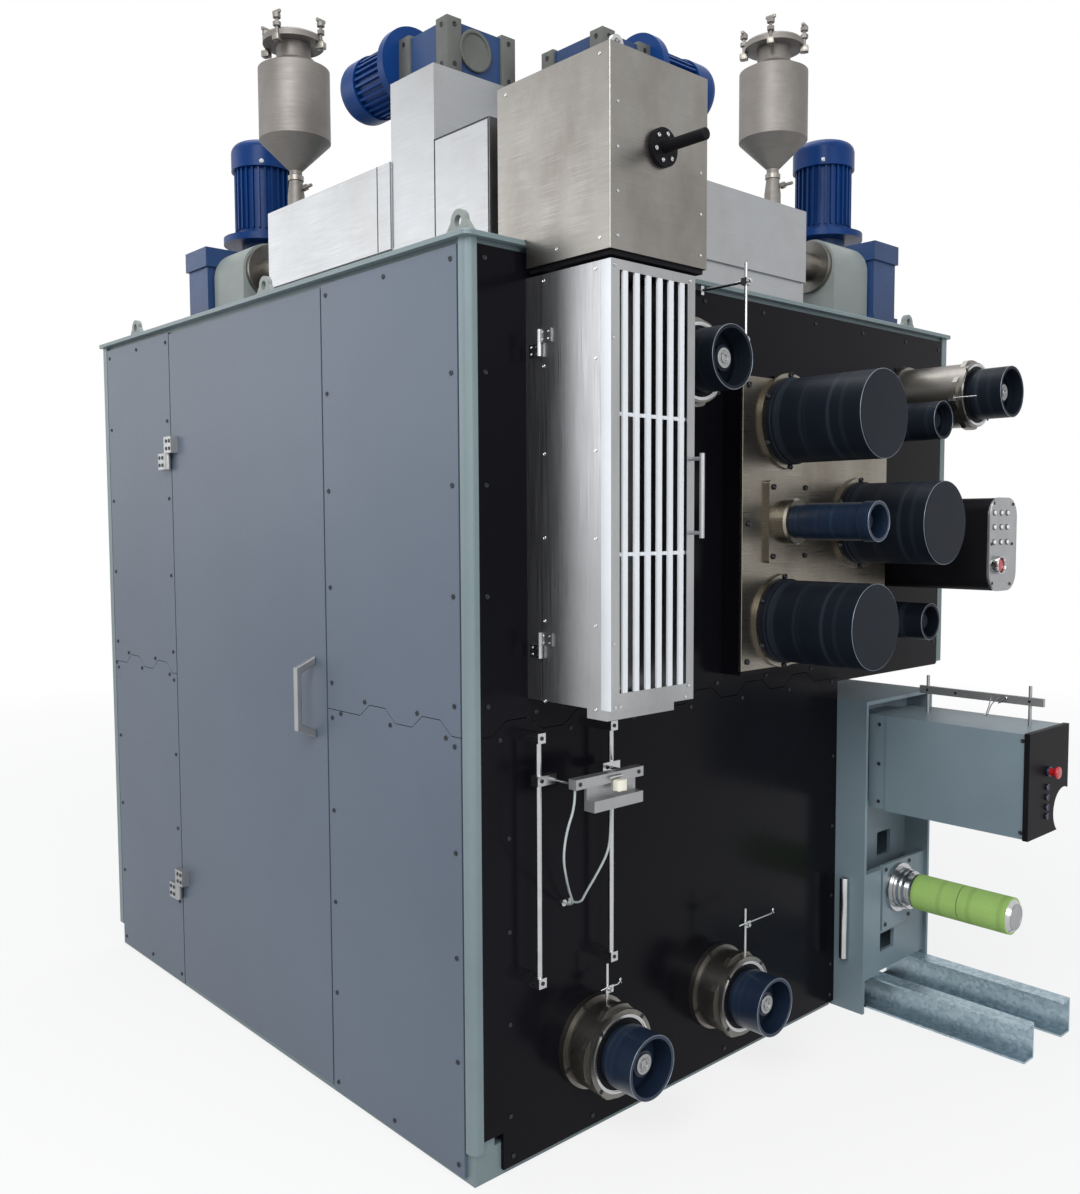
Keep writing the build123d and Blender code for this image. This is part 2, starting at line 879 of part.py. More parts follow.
# Small rolls straight on the front, flared at the base
for name, (x, z, radius, reach) in small_rolls.items():
    length = reach - roll_gap
    turned(name, x, z, roll_gap, [
        (0, 0),
        (radius + small_roll_flare, 0),
        (radius + small_roll_flare, 10),
        (radius, 10 + small_roll_flare),
        (radius, length),
        (radius - roll_shell, length),
        (radius - roll_shell, length - small_roll_recess),
        (hub_radius, length - small_roll_recess),
        (hub_radius, length - small_roll_recess / 2),
        (0, length - small_roll_recess / 2),
    ])


# Quench box: the fixed back frame, then the door with its side and the slatted front
quench_width = quench_right - quench_left
quench_middle = (quench_left + quench_right) / 2
quench_height = quench_high - quench_low
quench_mid_z = (quench_low + quench_high) / 2
with BuildPart() as quench_frame:
    with BuildSketch(front_wall):
        with Locations((quench_middle, quench_mid_z)):
            Rectangle(quench_width, quench_height)
            Rectangle(
                quench_width - 2 * quench_frame_width,
                quench_height - 2 * quench_frame_width,
                mode=Mode.SUBTRACT,
            )
    extrude(amount=quench_hinge_line)
    with BuildSketch(front_wall):
        with Locations((quench_middle, quench_low + quench_frame_width / 4)):
            Rectangle(quench_width * 0.55, quench_frame_width / 2)
    extrude(amount=quench_hinge_line)
keep(quench_frame, "quench_frame")

quench_pin_x = quench_left - quench_hinge_radius
quench_pin_y = quench_hinge_line + quench_seam / 2
door_start = quench_hinge_line + quench_seam


def quench_hinge(z, to_front):
    """Leaf on the left side of the quench box with its half of the barrel round the pin line."""
    middle = -(quench_pin_y + to_front * (quench_hinge_leaf / 2 + 1))
    with BuildPart() as leaf:
        with BuildSketch(floor.offset(z)):
            with Locations((quench_pin_x, -quench_pin_y)):
                Circle(quench_hinge_radius)
            with Locations((quench_left - quench_hinge_thickness / 2, middle)):
                Rectangle(quench_hinge_thickness, quench_hinge_leaf)
            with Locations((quench_left, -quench_pin_y - to_front * quench_hinge_radius / 2)):
                Rectangle(2 * quench_hinge_thickness, quench_hinge_radius)
            with Locations((quench_middle, -quench_pin_y)):
                Rectangle(quench_width, 2 * quench_hinge_leaf, mode=Mode.SUBTRACT)
        extrude(amount=quench_hinge_height)
    return leaf.part


with BuildPart() as quench_hinges:
    for z in quench_hinge_heights:
        add(quench_hinge(z - quench_hinge_height - hinge_gap, -1))
keep(quench_hinges, "quench_hinges")
with BuildPart() as quench_door:
    with BuildSketch(floor.offset(quench_low)):
        with Locations((quench_middle, -(door_start + quench_front) / 2)):
            Rectangle(quench_width, quench_front - door_start)
        with Locations((quench_middle, -(door_start + quench_front) / 2)):
            Rectangle(
                quench_width - 2 * quench_wall, quench_front - door_start - 2 * quench_wall, mode=Mode.SUBTRACT
            )
        with Locations((quench_middle, -(door_start + quench_wall) + quench_wall / 2)):
            Rectangle(quench_width - 2 * quench_frame_width, 4 * quench_wall, mode=Mode.SUBTRACT)
    extrude(amount=quench_height)
    with BuildSketch(front_wall.offset(quench_front)):
        with Locations((quench_middle, quench_mid_z + quench_bottom_band / 4)):
            Rectangle(
                quench_width - 2 * quench_frame_width,
                quench_height - quench_bottom_band - quench_frame_width,
                mode=Mode.ADD,
            )
    extrude(amount=-3 * quench_wall, mode=Mode.SUBTRACT)
    with BuildSketch(floor.offset(quench_low - quench_lip_drop)):
        with Locations(
            (quench_left + quench_lip_width / 2, quench_lip_setback - quench_front + quench_lip_depth / 2)
        ):
            Rectangle(quench_lip_width, quench_lip_depth)
    extrude(amount=quench_lip_drop)
    for z in quench_hinge_heights:
        add(quench_hinge(z, 1))
keep(quench_door, "quench_door")

slat_area = quench_width - 2 * quench_frame_width
slat_pitch = slat_area / slat_count
slat_height = quench_height - quench_bottom_band - quench_frame_width
slat_mid_z = quench_mid_z + quench_bottom_band / 4
with BuildPart() as quench_slats:
    with BuildSketch(front_wall.offset(quench_front - slat_depth)):
        with Locations((quench_middle, slat_mid_z)):
            with GridLocations(slat_pitch, 1, slat_count, 1):
                Rectangle(slat_width, slat_height)
    extrude(amount=slat_depth)
    with BuildSketch(front_wall.offset(quench_front - 2 * slat_depth)):
        with Locations((quench_middle, slat_mid_z)):
            with GridLocations(1, slat_height / 3, 1, 2):
                Rectangle(slat_area, slat_bar_height)
    extrude(amount=slat_depth)
keep(quench_slats, "quench_slats")

# Hinges and pull handle of the quench door
with BuildPart() as quench_handle:
    handle_x = quench_right - quench_frame_width / 2
    for z in (quench_handle_low, quench_handle_high):
        with BuildSketch(front_axis(handle_x, z, quench_front)):
            Circle(quench_handle_post)
        extrude(amount=quench_handle_stand)
    grip_bottom = quench_handle_low - 2 * quench_handle_radius
    with BuildSketch(Plane(origin=(left + handle_x, front - quench_front - quench_handle_stand, grip_bottom))):
        Circle(quench_handle_radius)
    extrude(amount=quench_handle_high - quench_handle_low + 4 * quench_handle_radius)
keep(quench_handle, "quench_handle")


# Spin box: a steel hood over the quench box, stepped where it rests on the top plate
with BuildPart() as spin_box:
    with BuildSketch(Plane(origin=(left + spin_left, front, 0), x_dir=(0, 1, 0), z_dir=(1, 0, 0))):
        with BuildLine():
            Polyline(
                (-spin_front, spin_low),
                (-top_overhang - spin_step_back, spin_low),
                (-top_overhang - spin_step_back, cabinet_height),
                (spin_back, cabinet_height),
                (spin_back, spin_high),
                (-spin_front, spin_high),
                close=True,
            )
        make_face()
    extrude(amount=spin_right - spin_left)
    fillet(edges().filter_by(Axis.Z).group_by(Axis.Y)[0], radius=sheet)
keep(spin_box, "spin_box")

with BuildPart() as spin_rod:
    with BuildSketch(front_axis(spin_left + (spin_right - spin_left) / 2, spin_rod_z, spin_front)):
        Circle(spin_flange_radius)
    extrude(amount=spin_flange_thickness)
    with BuildSketch(front_axis(spin_left + (spin_right - spin_left) / 2, spin_rod_z, spin_front)):
        Circle(spin_rod_radius)
    extrude(amount=spin_rod_length)
    fillet(faces().sort_by(Axis.Y)[0].edges(), radius=3)
keep(spin_rod, "spin_rod")

with BuildPart() as spin_eye:
    with BuildSketch(front_axis(spin_left + eye_inset, spin_high, spin_front - eye_setback)):
        with Locations((0, eye_radius)):
            Circle(eye_radius)
        with Locations((0, eye_radius / 4)):
            Rectangle(eye_radius, eye_radius / 2)
        with Locations((0, eye_radius)):
            Circle(eye_hole_radius, mode=Mode.SUBTRACT)
    extrude(amount=eye_thickness / 2, both=True)
keep(spin_eye, "spin_eye")


# Extruder trains. In a train's plane x runs away from the spin box, y across and z up. The right train
# stands higher than the deck by its lift, so its feet reach down by as much.
trains = (
    (left_train, left_cover_start, left_cover_end, -1, left_hopper_inset, 0),
    (right_train, right_cover_start, right_cover_end, 1, right_hopper_inset, right_train_lift),
)
cover_middle = (cover_low + cover_high) / 2


def upright(train, along, across, up=0):
    """Level plane at a place of a train."""
    return Plane(origin=train.from_local_coords(Vector(along, across, up)), x_dir=train.x_dir, z_dir=(0, 0, 1))


def facing(train, along):
    """Plane square to a train, with x across and y up, at a distance along it."""
    return Plane(origin=train.from_local_coords(Vector(along, 0, 0)), x_dir=train.y_dir, z_dir=train.x_dir)


with BuildPart() as extruder_covers:
    for train, start, end, side, inset, lift in trains:
        with BuildSketch(facing(train, start)):
            with Locations((0, cover_middle)):
                Rectangle(cover_width, cover_high - cover_low)
            with Locations((0, (rail_height - lift) / 2)):
                Rectangle(rail_width, rail_height + lift)
        extrude(amount=end - start)
keep(extruder_covers, "extruder_covers")

# Hoppers: spun shells with a cone, a shoulder and a flanged neck
hopper_outline = [
    (hopper_foot_radius, cover_high),
    (hopper_foot_radius, cover_high + hopper_foot_rise),
    (hopper_spout_radius, hopper_foot_high),
    (hopper_spout_radius, hopper_cone_low),
    (hopper_radius, hopper_body_low),
    (hopper_radius, hopper_body_high),
    (hopper_neck_radius, hopper_shoulder),
    (hopper_neck_radius, hopper_neck_high - hopper_rim_height),
    (hopper_rim_radius, hopper_neck_high - hopper_rim_height),
    (hopper_rim_radius, hopper_neck_high),
    (hopper_neck_radius - hopper_wall, hopper_neck_high),
    (hopper_neck_radius - hopper_wall, hopper_shoulder),
    (hopper_radius - hopper_wall, hopper_body_high - hopper_wall),
    (hopper_radius - hopper_wall, hopper_body_low + hopper_wall),
    (0, hopper_cone_low),
    (0, cover_high),
]
with BuildPart() as hoppers:
    for train, start, end, side, inset, lift in trains:
        foot = upright(train, end - inset, 0)
        with BuildSketch(Plane(origin=foot.origin, x_dir=train.x_dir, z_dir=-train.y_dir)):
            with BuildLine():
                Polyline(*hopper_outline, close=True)
            make_face()
        revolve(axis=Axis(foot.origin, (0, 0, 1)))
keep(hoppers, "hoppers")

# Hopper lids with their swing bolts, which reach down beside the flange
with BuildPart() as hopper_lids:
    for train, start, end, side, inset, lift in trains:
        seat = upright(train, end - inset, 0, hopper_neck_high)
        with BuildSketch(seat):
            Circle(hopper_rim_radius)
        extrude(amount=lid_edge)
        chamfer(faces(Select.LAST).sort_by(Axis.Z)[-1].edges(), length=lid_edge / 2)
        bolt_circle = hopper_rim_radius + clamp_bolt_radius / 2
        for low, high, radius, sides in (
            (-clamp_drop, clamp_height, clamp_bolt_radius, 6),
            (lid_edge, lid_edge + clamp_nut_height, clamp_nut_radius, 6),
            (clamp_height - clamp_nut_height, clamp_height, clamp_nut_radius, 8),
        ):
            with BuildSketch(seat.offset(low)):
                with PolarLocations(bolt_circle, lid_clamp_count, start_angle=30):
                    RegularPolygon(radius, sides)
            extrude(amount=high - low)
        with BuildSketch(seat.offset(-clamp_drop)):
            Circle(hopper_rim_radius + roll_gap)
        extrude(amount=clamp_drop, mode=Mode.SUBTRACT)
keep(hopper_lids, "hopper_lids")

# Coupling housings and the flanged barrels between the covers and the gearboxes
with BuildPart() as coupling_housings:
    for train, start, end, side, inset, lift in trains:
        with BuildSketch(facing(train, end + coupling_offset)):
            with Locations((0, train_axis_height)):
                Circle(coupling_radius)
            with Locations((0, (train_axis_height - lift) / 2)):
                Rectangle(2 * coupling_radius, train_axis_height + lift)
        extrude(amount=gearbox_offset - coupling_offset)
keep(coupling_housings, "coupling_housings")
with BuildPart() as feed_throats:
    for train, start, end, side, inset, lift in trains:
        with BuildSketch(facing(train, end)):
            with Locations((0, train_axis_height)):
                Circle(barrel_radius)
        extrude(amount=coupling_offset)
        with BuildSketch(facing(train, end + coupling_offset - coupling_flange_thickness)):
            with Locations((0, train_axis_height)):
                Circle(coupling_flange_radius)
        extrude(amount=coupling_flange_thickness)
keep(feed_throats, "feed_throats")

# Extruder gearboxes: cast boxes with a capped top and a neck that carries the motor
with BuildPart() as extruder_gearboxes:
    for train, start, end, side, inset, lift in trains:
        middle = end + gearbox_offset + gearbox_length / 2
        case_width = 2 * gearbox_half_width + gearbox_motor_side
        case_shift = side * gearbox_motor_side / 2
        for low, high, lip in (
            (-lift, gearbox_high, gearbox_cap_lip),
            (gearbox_high - gearbox_cap_height, gearbox_high, 0),
            (-lift, 2 * gearbox_cap_lip, 0),
        ):
            with BuildSketch(upright(train, middle, case_shift, low)):
                Rectangle(gearbox_length - 2 * lip, case_width - 2 * lip)
            extrude(amount=high - low)
        with BuildSketch(upright(train, middle - motor_setback, side * gearbox_motor_side, gearbox_high)):
            Circle(motor_neck_radius)
        extrude(amount=motor_flange_low - gearbox_high)
keep(extruder_gearboxes, "extruder_gearboxes")


def motor(seat, start, flange_radius, flange_thickness, body_radius, body_start, cowl_radius, cowl_start, finish):
    """Finned motor standing on a plane, with its flange, ribbed body and rounded fan cowl."""
    with BuildPart() as machine:
        with BuildSketch(seat.offset(start)):
            Circle(flange_radius)
        extrude(amount=flange_thickness)
        with BuildSketch(seat.offset(start + flange_thickness)):
            Circle(body_radius - motor_fin_depth)
        extrude(amount=cowl_start - start - flange_thickness)
        with BuildSketch(seat.offset(body_start)):
            with PolarLocations(body_radius - motor_fin_depth, motor_fin_count):
                Rectangle(2 * motor_fin_depth, motor_fin_width)
        extrude(amount=cowl_start - body_start)
        with BuildSketch(seat.offset(cowl_start)):
            Circle(cowl_radius)
        extrude(amount=finish - cowl_start)
        rim = edges().filter_by(GeomType.CIRCLE).sort_by(Axis(seat.origin, seat.z_dir))[-1]
        fillet(rim, radius=motor_cowl_round)
    return machine.part


# Motors of both extruders, upright on their gearboxes
with BuildPart() as extruder_motors:
    for train, start, end, side, inset, lift in trains:
        middle = end + gearbox_offset + gearbox_length / 2 - motor_setback
        seat = upright(train, middle, side * gearbox_motor_side)
        add(
            motor(
                seat,
                motor_flange_low,
                motor_flange_radius,
                motor_flange_thickness,
                motor_body_radius,
                motor_body_low,
                motor_cowl_radius,
                motor_cowl_low,
                motor_high,
            )
        )
keep(extruder_motors, "extruder_motors")


# Heated pump boxes and the link boxes that join them to the spin box
def deck_box(x_low, x_high, y_low, y_high, height, low=0):
    """Plain box on the deck between two corners."""
    with BuildPart() as block:
        with BuildSketch(deck.offset(low)):
            with Locations(((x_low + x_high) / 2, (y_low + y_high) / 2)):
                Rectangle(x_high - x_low, y_high - y_low)
        extrude(amount=height)
    return block.part


with BuildPart() as pump_boxes:
    add(deck_box(pump_box_left, pump_box_right, pump_box_front, pump_box_back, pump_box_high))
    add(deck_box(second_box_left, second_box_right, second_box_front, second_box_back, pump_box_high))
keep(pump_boxes, "pump_boxes")
with BuildPart() as link_boxes:
    add(deck_box(pump_box_left, pump_box_right, link_box_front, pump_box_front, link_box_high))
    add(deck_box(second_link_left, second_box_left, second_box_front, second_link_back, second_link_high))
keep(link_boxes, "link_boxes")


def pump_gearbox(x_low, x_high, y_low, y_high):
    """Cast worm gearbox lying on a pump box, with a square block at each corner."""
    with BuildPart() as case:
        add(
            deck_box(
                x_low + pump_gearbox_block_lip,
                x_high - pump_gearbox_block_lip,
                y_low + pump_gearbox_block_lip,
                y_high - pump_gearbox_block_lip,
                pump_gearbox_height - 2 * pump_gearbox_block_lip,
                pump_box_high + pump_gearbox_block_lip,
            )
        )
        half = pump_gearbox_block / 2
        with BuildSketch(deck.offset(pump_box_high)):
            with Locations(
                (x_low + half, y_low + half),
                (x_high - half, y_low + half),
                (x_low + half, y_high - half),
                (x_high - half, y_high - half),
            ):
                Rectangle(pump_gearbox_block, pump_gearbox_block)
        extrude(amount=pump_gearbox_height)
    return case.part


with BuildPart() as pump_gearboxes:
    add(
        pump_gearbox(
            pump_box_left + 4 * pump_gearbox_margin,
            pump_box_right + pump_gearbox_margin,
            pump_box_front + pump_gearbox_margin / 2,
            pump_motor_start,
        )
    )
    add(pump_gearbox(second_box_left, second_box_right, second_box_front, second_box_back))
keep(pump_gearboxes, "pump_gearboxes")

# Motors of both pumps, each lying along its own extruder
pump_motor_z = cabinet_height + pump_box_high + pump_gearbox_height / 2 + pump_motor_rise
pump_axes = (
    (Plane(origin=(left + pump_motor_x, front, pump_motor_z), x_dir=(1, 0, 0), z_dir=(0, 1, 0)), pump_motor_start),
    (Plane(origin=(left, front + second_motor_y, pump_motor_z), x_dir=(0, 1, 0), z_dir=(1, 0, 0)), second_box_right),
)
with BuildPart() as pump_motors:
    for pump_axis, start in pump_axes:
        add(
            motor(
                pump_axis,
                start,
                pump_motor_flange_radius,
                pump_motor_flange_thickness,
                pump_motor_body_radius,
                start + pump_motor_flange_thickness,
                pump_motor_cowl_radius,
                start + pump_motor_cowl_start,
                start + pump_motor_length,
            )
        )
keep(pump_motors, "pump_motors")


# Finishing station: two rods held off the front by clamps, with an arm from each to the bar
with BuildPart() as finish_stand:
    for x, shift in zip((finish_rod_left, finish_rod_right), finish_arm_shifts):
        with BuildSketch(Plane(origin=(left + x, front - finish_rod_stand, finish_rod_low))):
            Circle(finish_rod_radius)
        extrude(amount=finish_rod_high - finish_rod_low)
        for z in (finish_rod_low + finish_clamp / 2, finish_rod_high - finish_clamp / 2):
            with BuildSketch(front_axis(x, z)):
                Rectangle(finish_clamp, finish_clamp)
            extrude(amount=finish_rod_stand + finish_clamp / 2)
        with BuildSketch(front_axis(x + shift / 2, finish_arm_z, finish_rod_stand - finish_clamp / 2)):
            Rectangle(finish_clamp_length, finish_clamp)
        extrude(amount=finish_clamp)
        with BuildSketch(front_axis(x + shift, finish_arm_z, finish_rod_stand)):
            Circle(finish_arm_radius)
        extrude(amount=finish_bar_stand - finish_rod_stand)
    for route in (hose_left_route, hose_right_route):
        end_x, end_stand, end_z = route[-1]
        with BuildSketch(front_axis(end_x, end_z)):
            RegularPolygon(hose_gland_radius, 6, major_radius=False)
        extrude(amount=hose_gland_length)
keep(finish_stand, "finish_stand")

# Bar of the finishing station with the guide block hung under it on a plate
bar_middle = finish_bar_left + finish_bar_length / 2
block_middle = finish_block_left + finish_block_length / 2
block_z = finish_arm_z - finish_bar_section / 2 - finish_block_drop - finish_block_height / 2
with BuildPart() as finish_guide:
    with BuildSketch(front_axis(bar_middle, finish_arm_z, finish_bar_stand)):
        Rectangle(finish_bar_length, finish_bar_section)
    extrude(amount=finish_bar_section)
    with BuildSketch(front_axis(block_middle, finish_arm_z - finish_block_drop, finish_bar_stand)):
        Rectangle(finish_block_length, finish_bar_section + finish_block_drop)
    extrude(amount=finish_block_plate)
    with BuildSketch(front_axis(block_middle, block_z, finish_bar_stand)):
        Rectangle(finish_block_length, finish_block_height)
    extrude(amount=finish_block_depth)
keep(finish_guide, "finish_guide")


def hose(name, route):
    """Limp hose along a route, in straight runs joined by arcs as large as the runs allow."""
    points = [Vector(left + x, front - stand, z) for x, stand, z in route]
    runs = [end - start for start, end in zip(points, points[1:])]
    radii = []
    for before, after in zip(runs, runs[1:]):
        half_turn = radians(before.get_angle(after)) / 2
        radii.append(0.45 * min(before.length, after.length) / tan(half_turn))
    print(name, "arc radii", [round(radius) for radius in radii])
    with BuildPart() as piece:
        with BuildLine() as path:
            FilletPolyline(*points, radius=radii)
        with BuildSketch(Plane(origin=path.line @ 0, z_dir=path.line % 0)):
            Circle(hose_radius)
        sweep(path=path.line)
    keep(piece, name)
    length = sum(edge.length for edge in path.edges())
    print(name, "volume over section times length", piece.part.volume / (pi * hose_radius**2 * length))


hose("hose_left", hose_left_route)
hose("hose_right", hose_right_route)

# Thread guides: clamps on thin rods beside the rolls, one on an arm and one on a housing
with BuildPart() as yarn_guides:
    for roll, x, stand, top, clamp_z, cross_start, cross_end in guide_places:
        roll_x, roll_z, roll_radius, roll_reach, housing_radius, housing_length = guide_rolls[roll]
        with BuildSketch(Plane(origin=(left + x, front - stand, roll_z))):
            Circle(guide_rod_radius)
        extrude(amount=top - roll_z)
        with BuildSketch(front_axis(roll_x, roll_z)):
            Circle(housing_radius - housing_flange_step)
        extrude(amount=housing_length, mode=Mode.SUBTRACT)
        with BuildSketch(front_axis(x, clamp_z, stand - guide_clamp / 2)):
            Rectangle(1.5 * guide_clamp, guide_clamp)
        extrude(amount=guide_clamp)
        with BuildSketch(Plane(origin=(left + cross_start, front - stand, clamp_z), z_dir=(1, 0, 0))):
            Circle(guide_rod_radius / 2)
        extrude(amount=cross_end - cross_start)
    arm_z = cabinet_height - upper_guide_drop
    with BuildSketch(front_axis(upper_guide_x, arm_z)):
        Rectangle(upper_guide_foot / 2, upper_guide_foot)
    extrude(amount=guide_clamp / 2)
    with BuildSketch(front_axis(upper_guide_x, arm_z)):
        Circle(guide_rod_radius)
    extrude(amount=upper_guide_stand)
    with BuildSketch(front_axis(upper_guide_x, arm_z, upper_guide_stand - guide_clamp / 2)):
        Rectangle(guide_clamp, guide_clamp)
    extrude(amount=guide_clamp)
    rod_top = cabinet_height + upper_guide_top
    with BuildSketch(Plane(origin=(left + upper_guide_x, front - upper_guide_stand, rod_top))):
        Circle(guide_rod_radius)
    extrude(amount=-upper_guide_length)
    side_x, side_z, side_radius, side_reach, side_housing, side_length = guide_rolls["upper_right_roll"]
    side_stand = side_length - 2 * housing_flange_thickness
    side_guide_z = cabinet_height - side_guide_drop
    with BuildSketch(front_axis(side_x - side_housing - guide_clamp / 4, side_guide_z, side_stand)):
        Rectangle(guide_clamp, guide_clamp)
    extrude(amount=housing_flange_thickness)
    with BuildSketch(front_axis(side_x, side_z, side_stand)):
        Circle(side_housing)
    extrude(amount=housing_flange_thickness, mode=Mode.SUBTRACT)
    with BuildSketch(front_axis(side_x - side_housing - guide_clamp / 2, side_guide_z, side_stand)):
        Circle(guide_rod_radius / 2)
    extrude(amount=side_guide_length)
keep(yarn_guides, "yarn_guides")

# Control box with its face plate
control_width = control_right - control_left
control_height = control_high - control_low
control_middle = (control_left + control_right) / 2
control_mid_z = (control_low + control_high) / 2
control_body_reach = control_reach - control_plate_thickness
with BuildPart() as control_box:
    with BuildSketch(front_axis(control_middle, control_mid_z)):
        RectangleRounded(control_width - 4, control_height - 4, control_corner)
    extrude(amount=control_body_reach)
keep(control_box, "control_box")
with BuildPart() as control_panel:
    with BuildSketch(front_axis(control_middle, control_mid_z, control_body_reach)):
        RectangleRounded(control_width, control_height, control_plate_corner)
    extrude(amount=control_plate_thickness)
    chamfer(faces().sort_by(Axis.Y)[0].edges(), length=1)
    with BuildSketch(front_axis(control_middle, control_low + control_height * 0.28, control_reach)):
        Circle(20)
    extrude(amount=26)
keep(control_panel, "control_panel")


# Winder frame: plates round a bay, closed at the back by a plate with a square window
winder_middle = (winder_left + winder_right) / 2
winder_width = winder_right - winder_left
with BuildPart() as winder_frame:
    with BuildSketch(floor):
        with Locations((winder_left + winder_plate / 2, (winder_back - winder_front) / 2)):
            Rectangle(winder_plate, winder_back + winder_front)
        with Locations((winder_right - winder_plate / 2, (winder_back - winder_front) / 2)):
            Rectangle(winder_plate, winder_back + winder_front)
    extrude(amount=winder_high)
    with BuildSketch(floor.offset(winder_high - winder_plate)):
        with Locations((winder_middle, (winder_back - winder_front) / 2)):
            Rectangle(winder_width, winder_back + winder_front)
    extrude(amount=winder_plate)
    with BuildSketch(front_wall.offset(winder_back_plate)):
        with Locations((winder_middle, (channel_height + winder_high) / 2)):
            Rectangle(winder_width, winder_high - channel_height)
        with Locations((winder_window_x, winder_window_z)):
            Rectangle(winder_window, winder_window, mode=Mode.SUBTRACT)
    extrude(amount=-winder_plate)
    with BuildSketch(front_wall.offset(winder_front - winder_plate)):
        with Locations((winder_middle, (channel_height + winder_strip_high) / 2)):
            Rectangle(winder_width, winder_strip_high - channel_height)
        with Locations((winder_slot_x, (winder_slot_low + winder_slot_high) / 2)):
            Rectangle(winder_slot_width, winder_slot_high - winder_slot_low, mode=Mode.SUBTRACT)
    extrude(amount=-winder_plate)
    with BuildSketch(front_wall.offset(winder_front - winder_plate)):
        with Locations((winder_left + winder_strip_width / 2, (channel_height + winder_strip_high) / 2)):
            Rectangle(winder_strip_width, winder_strip_high - channel_height)
        with Locations((spindle_x, (bearing_plate_low + bearing_plate_high) / 2)):
            Rectangle(bearing_plate_width, bearing_plate_high - bearing_plate_low)
    extrude(amount=winder_plate)
    cylinder_x = winder_left - cylinder_gap - cylinder_radius
    with BuildSketch(floor.offset(cylinder_low)):
        with Locations((cylinder_x, -cylinder_stand)):
            Circle(cylinder_radius)
    extrude(amount=cylinder_high - cylinder_low)
    for z in (cylinder_low, cylinder_high - cylinder_foot):
        with BuildSketch(floor.offset(z)):
            with Locations(((cylinder_x + winder_left) / 2, -cylinder_stand)):
                Rectangle(winder_left - cylinder_x, cylinder_radius)
        extrude(amount=cylinder_foot)
keep(winder_frame, "winder_frame")

# Floor rails of channel section under the winder, open to the left
with BuildPart() as floor_rails:
    for x in (rail_left_x, rail_right_x):
        with BuildSketch(Plane(origin=(left + x, front - channel_front, 0), x_dir=(1, 0, 0), z_dir=(0, -1, 0))):
            with Locations((channel_width / 2, channel_wall / 2)):
                Rectangle(channel_width, channel_wall)
            with Locations((channel_width / 2, channel_height - channel_wall / 2)):
                Rectangle(channel_width, channel_wall)
            with Locations((channel_width - channel_wall / 2, channel_height / 2)):
                Rectangle(channel_wall, channel_height)
        extrude(amount=-(channel_front + winder_back_plate))
keep(floor_rails, "floor_rails")

# Bearing nose with its stack of rings, and the turning chuck with two paper tubes
with BuildPart() as spindle_rings:
    nose_end = winder_front
    for ring_radius, ring_length in bearing_rings:
        with BuildSketch(front_axis(spindle_x, spindle_z, nose_end)):
            Circle(ring_radius)
        extrude(amount=ring_length)
        nose_end += ring_length
keep(spindle_rings, "spindle_rings")
turned("chuck", spindle_x, spindle_z, nose_end + roll_gap, [
    (0, 0),
    (collar_radius, 0),
    (collar_radius, tube_start - nose_end - 8),
    (chuck_radius + 4, tube_start - nose_end - 8),
    (chuck_radius + 4, tube_start - nose_end - 3),
    (chuck_radius, tube_start - nose_end - 1),
    (chuck_radius, chuck_end - nose_end - 10),
    (chuck_radius - 10, chuck_end - nose_end),
    (0, chuck_end - nose_end),
])
with BuildPart() as winding_tubes:
    for index in range(2):
        with BuildSketch(front_axis(spindle_x, spindle_z, tube_start + index * (tube_length + tube_gap))):
            Circle(tube_radius)
            Circle(chuck_radius, mode=Mode.SUBTRACT)
        extrude(amount=tube_length)
keep(winding_tubes, "winding_tubes")

# Winding head: a long box with a coved corner for the contact roll, and its dark end cover
head_width = head_right - head_left
head_middle = (head_left + head_right) / 2
head_height = head_high - head_low
head_mid_z = (head_low + head_high) / 2
with BuildPart() as winding_head:
    with BuildSketch(front_axis(head_middle, head_mid_z, head_rear)):
        Rectangle(head_width - 2 * head_sheet_step, head_height - 2 * head_sheet_step)
    extrude(amount=head_flange_width)
    with BuildSketch(front_axis(head_middle, head_mid_z, head_rear + head_flange_width)):
        Rectangle(head_width, head_height)
    extrude(amount=head_front - head_cover_thickness - head_rear - head_flange_width)
    with BuildSketch(front_axis(notch_x, notch_z, head_rear)):
        Circle(notch_radius)
        with Locations((notch_radius / 2, -notch_radius / 2)):
            Rectangle(notch_radius, notch_radius)
    extrude(amount=head_front, mode=Mode.SUBTRACT)
    with BuildSketch(front_axis(head_middle, head_mid_z, winder_back_plate + roll_gap)):
        Rectangle(slide_plate_width, head_height - 2 * head_sheet_step)
    extrude(amount=head_rear - winder_back_plate - roll_gap)
keep(winding_head, "winding_head")
with BuildPart() as head_cover:
    with BuildSketch(front_axis(head_middle, head_mid_z, head_front - head_cover_thickness)):
        Rectangle(head_width + 2 * head_sheet_step, head_height + 2 * head_sheet_step)
    extrude(amount=head_cover_thickness)
    with BuildSketch(front_axis(notch_x, notch_z, head_front - head_cover_thickness)):
        Circle(notch_radius)
        with Locations((notch_radius / 2, -notch_radius / 2)):
            Rectangle(notch_radius, notch_radius)
    extrude(amount=head_cover_thickness, mode=Mode.SUBTRACT)
keep(head_cover, "head_cover")

# Thread guide bar on two rods over the winding head
with BuildPart() as head_guide:
    for stand in winder_rod_ys:
        with BuildSketch(Plane(origin=(left + winder_rod_x, front - stand, head_high))):
            Circle(winder_rod_radius)
        extrude(amount=winder_rod_high - head_high)
    with BuildSketch(front_axis(winder_rod_x, winder_bar_z, winder_bar_rear)):
        Rectangle(winder_bar_width, winder_bar_height)
    extrude(amount=winder_bar_front - winder_bar_rear)
keep(head_guide, "head_guide")
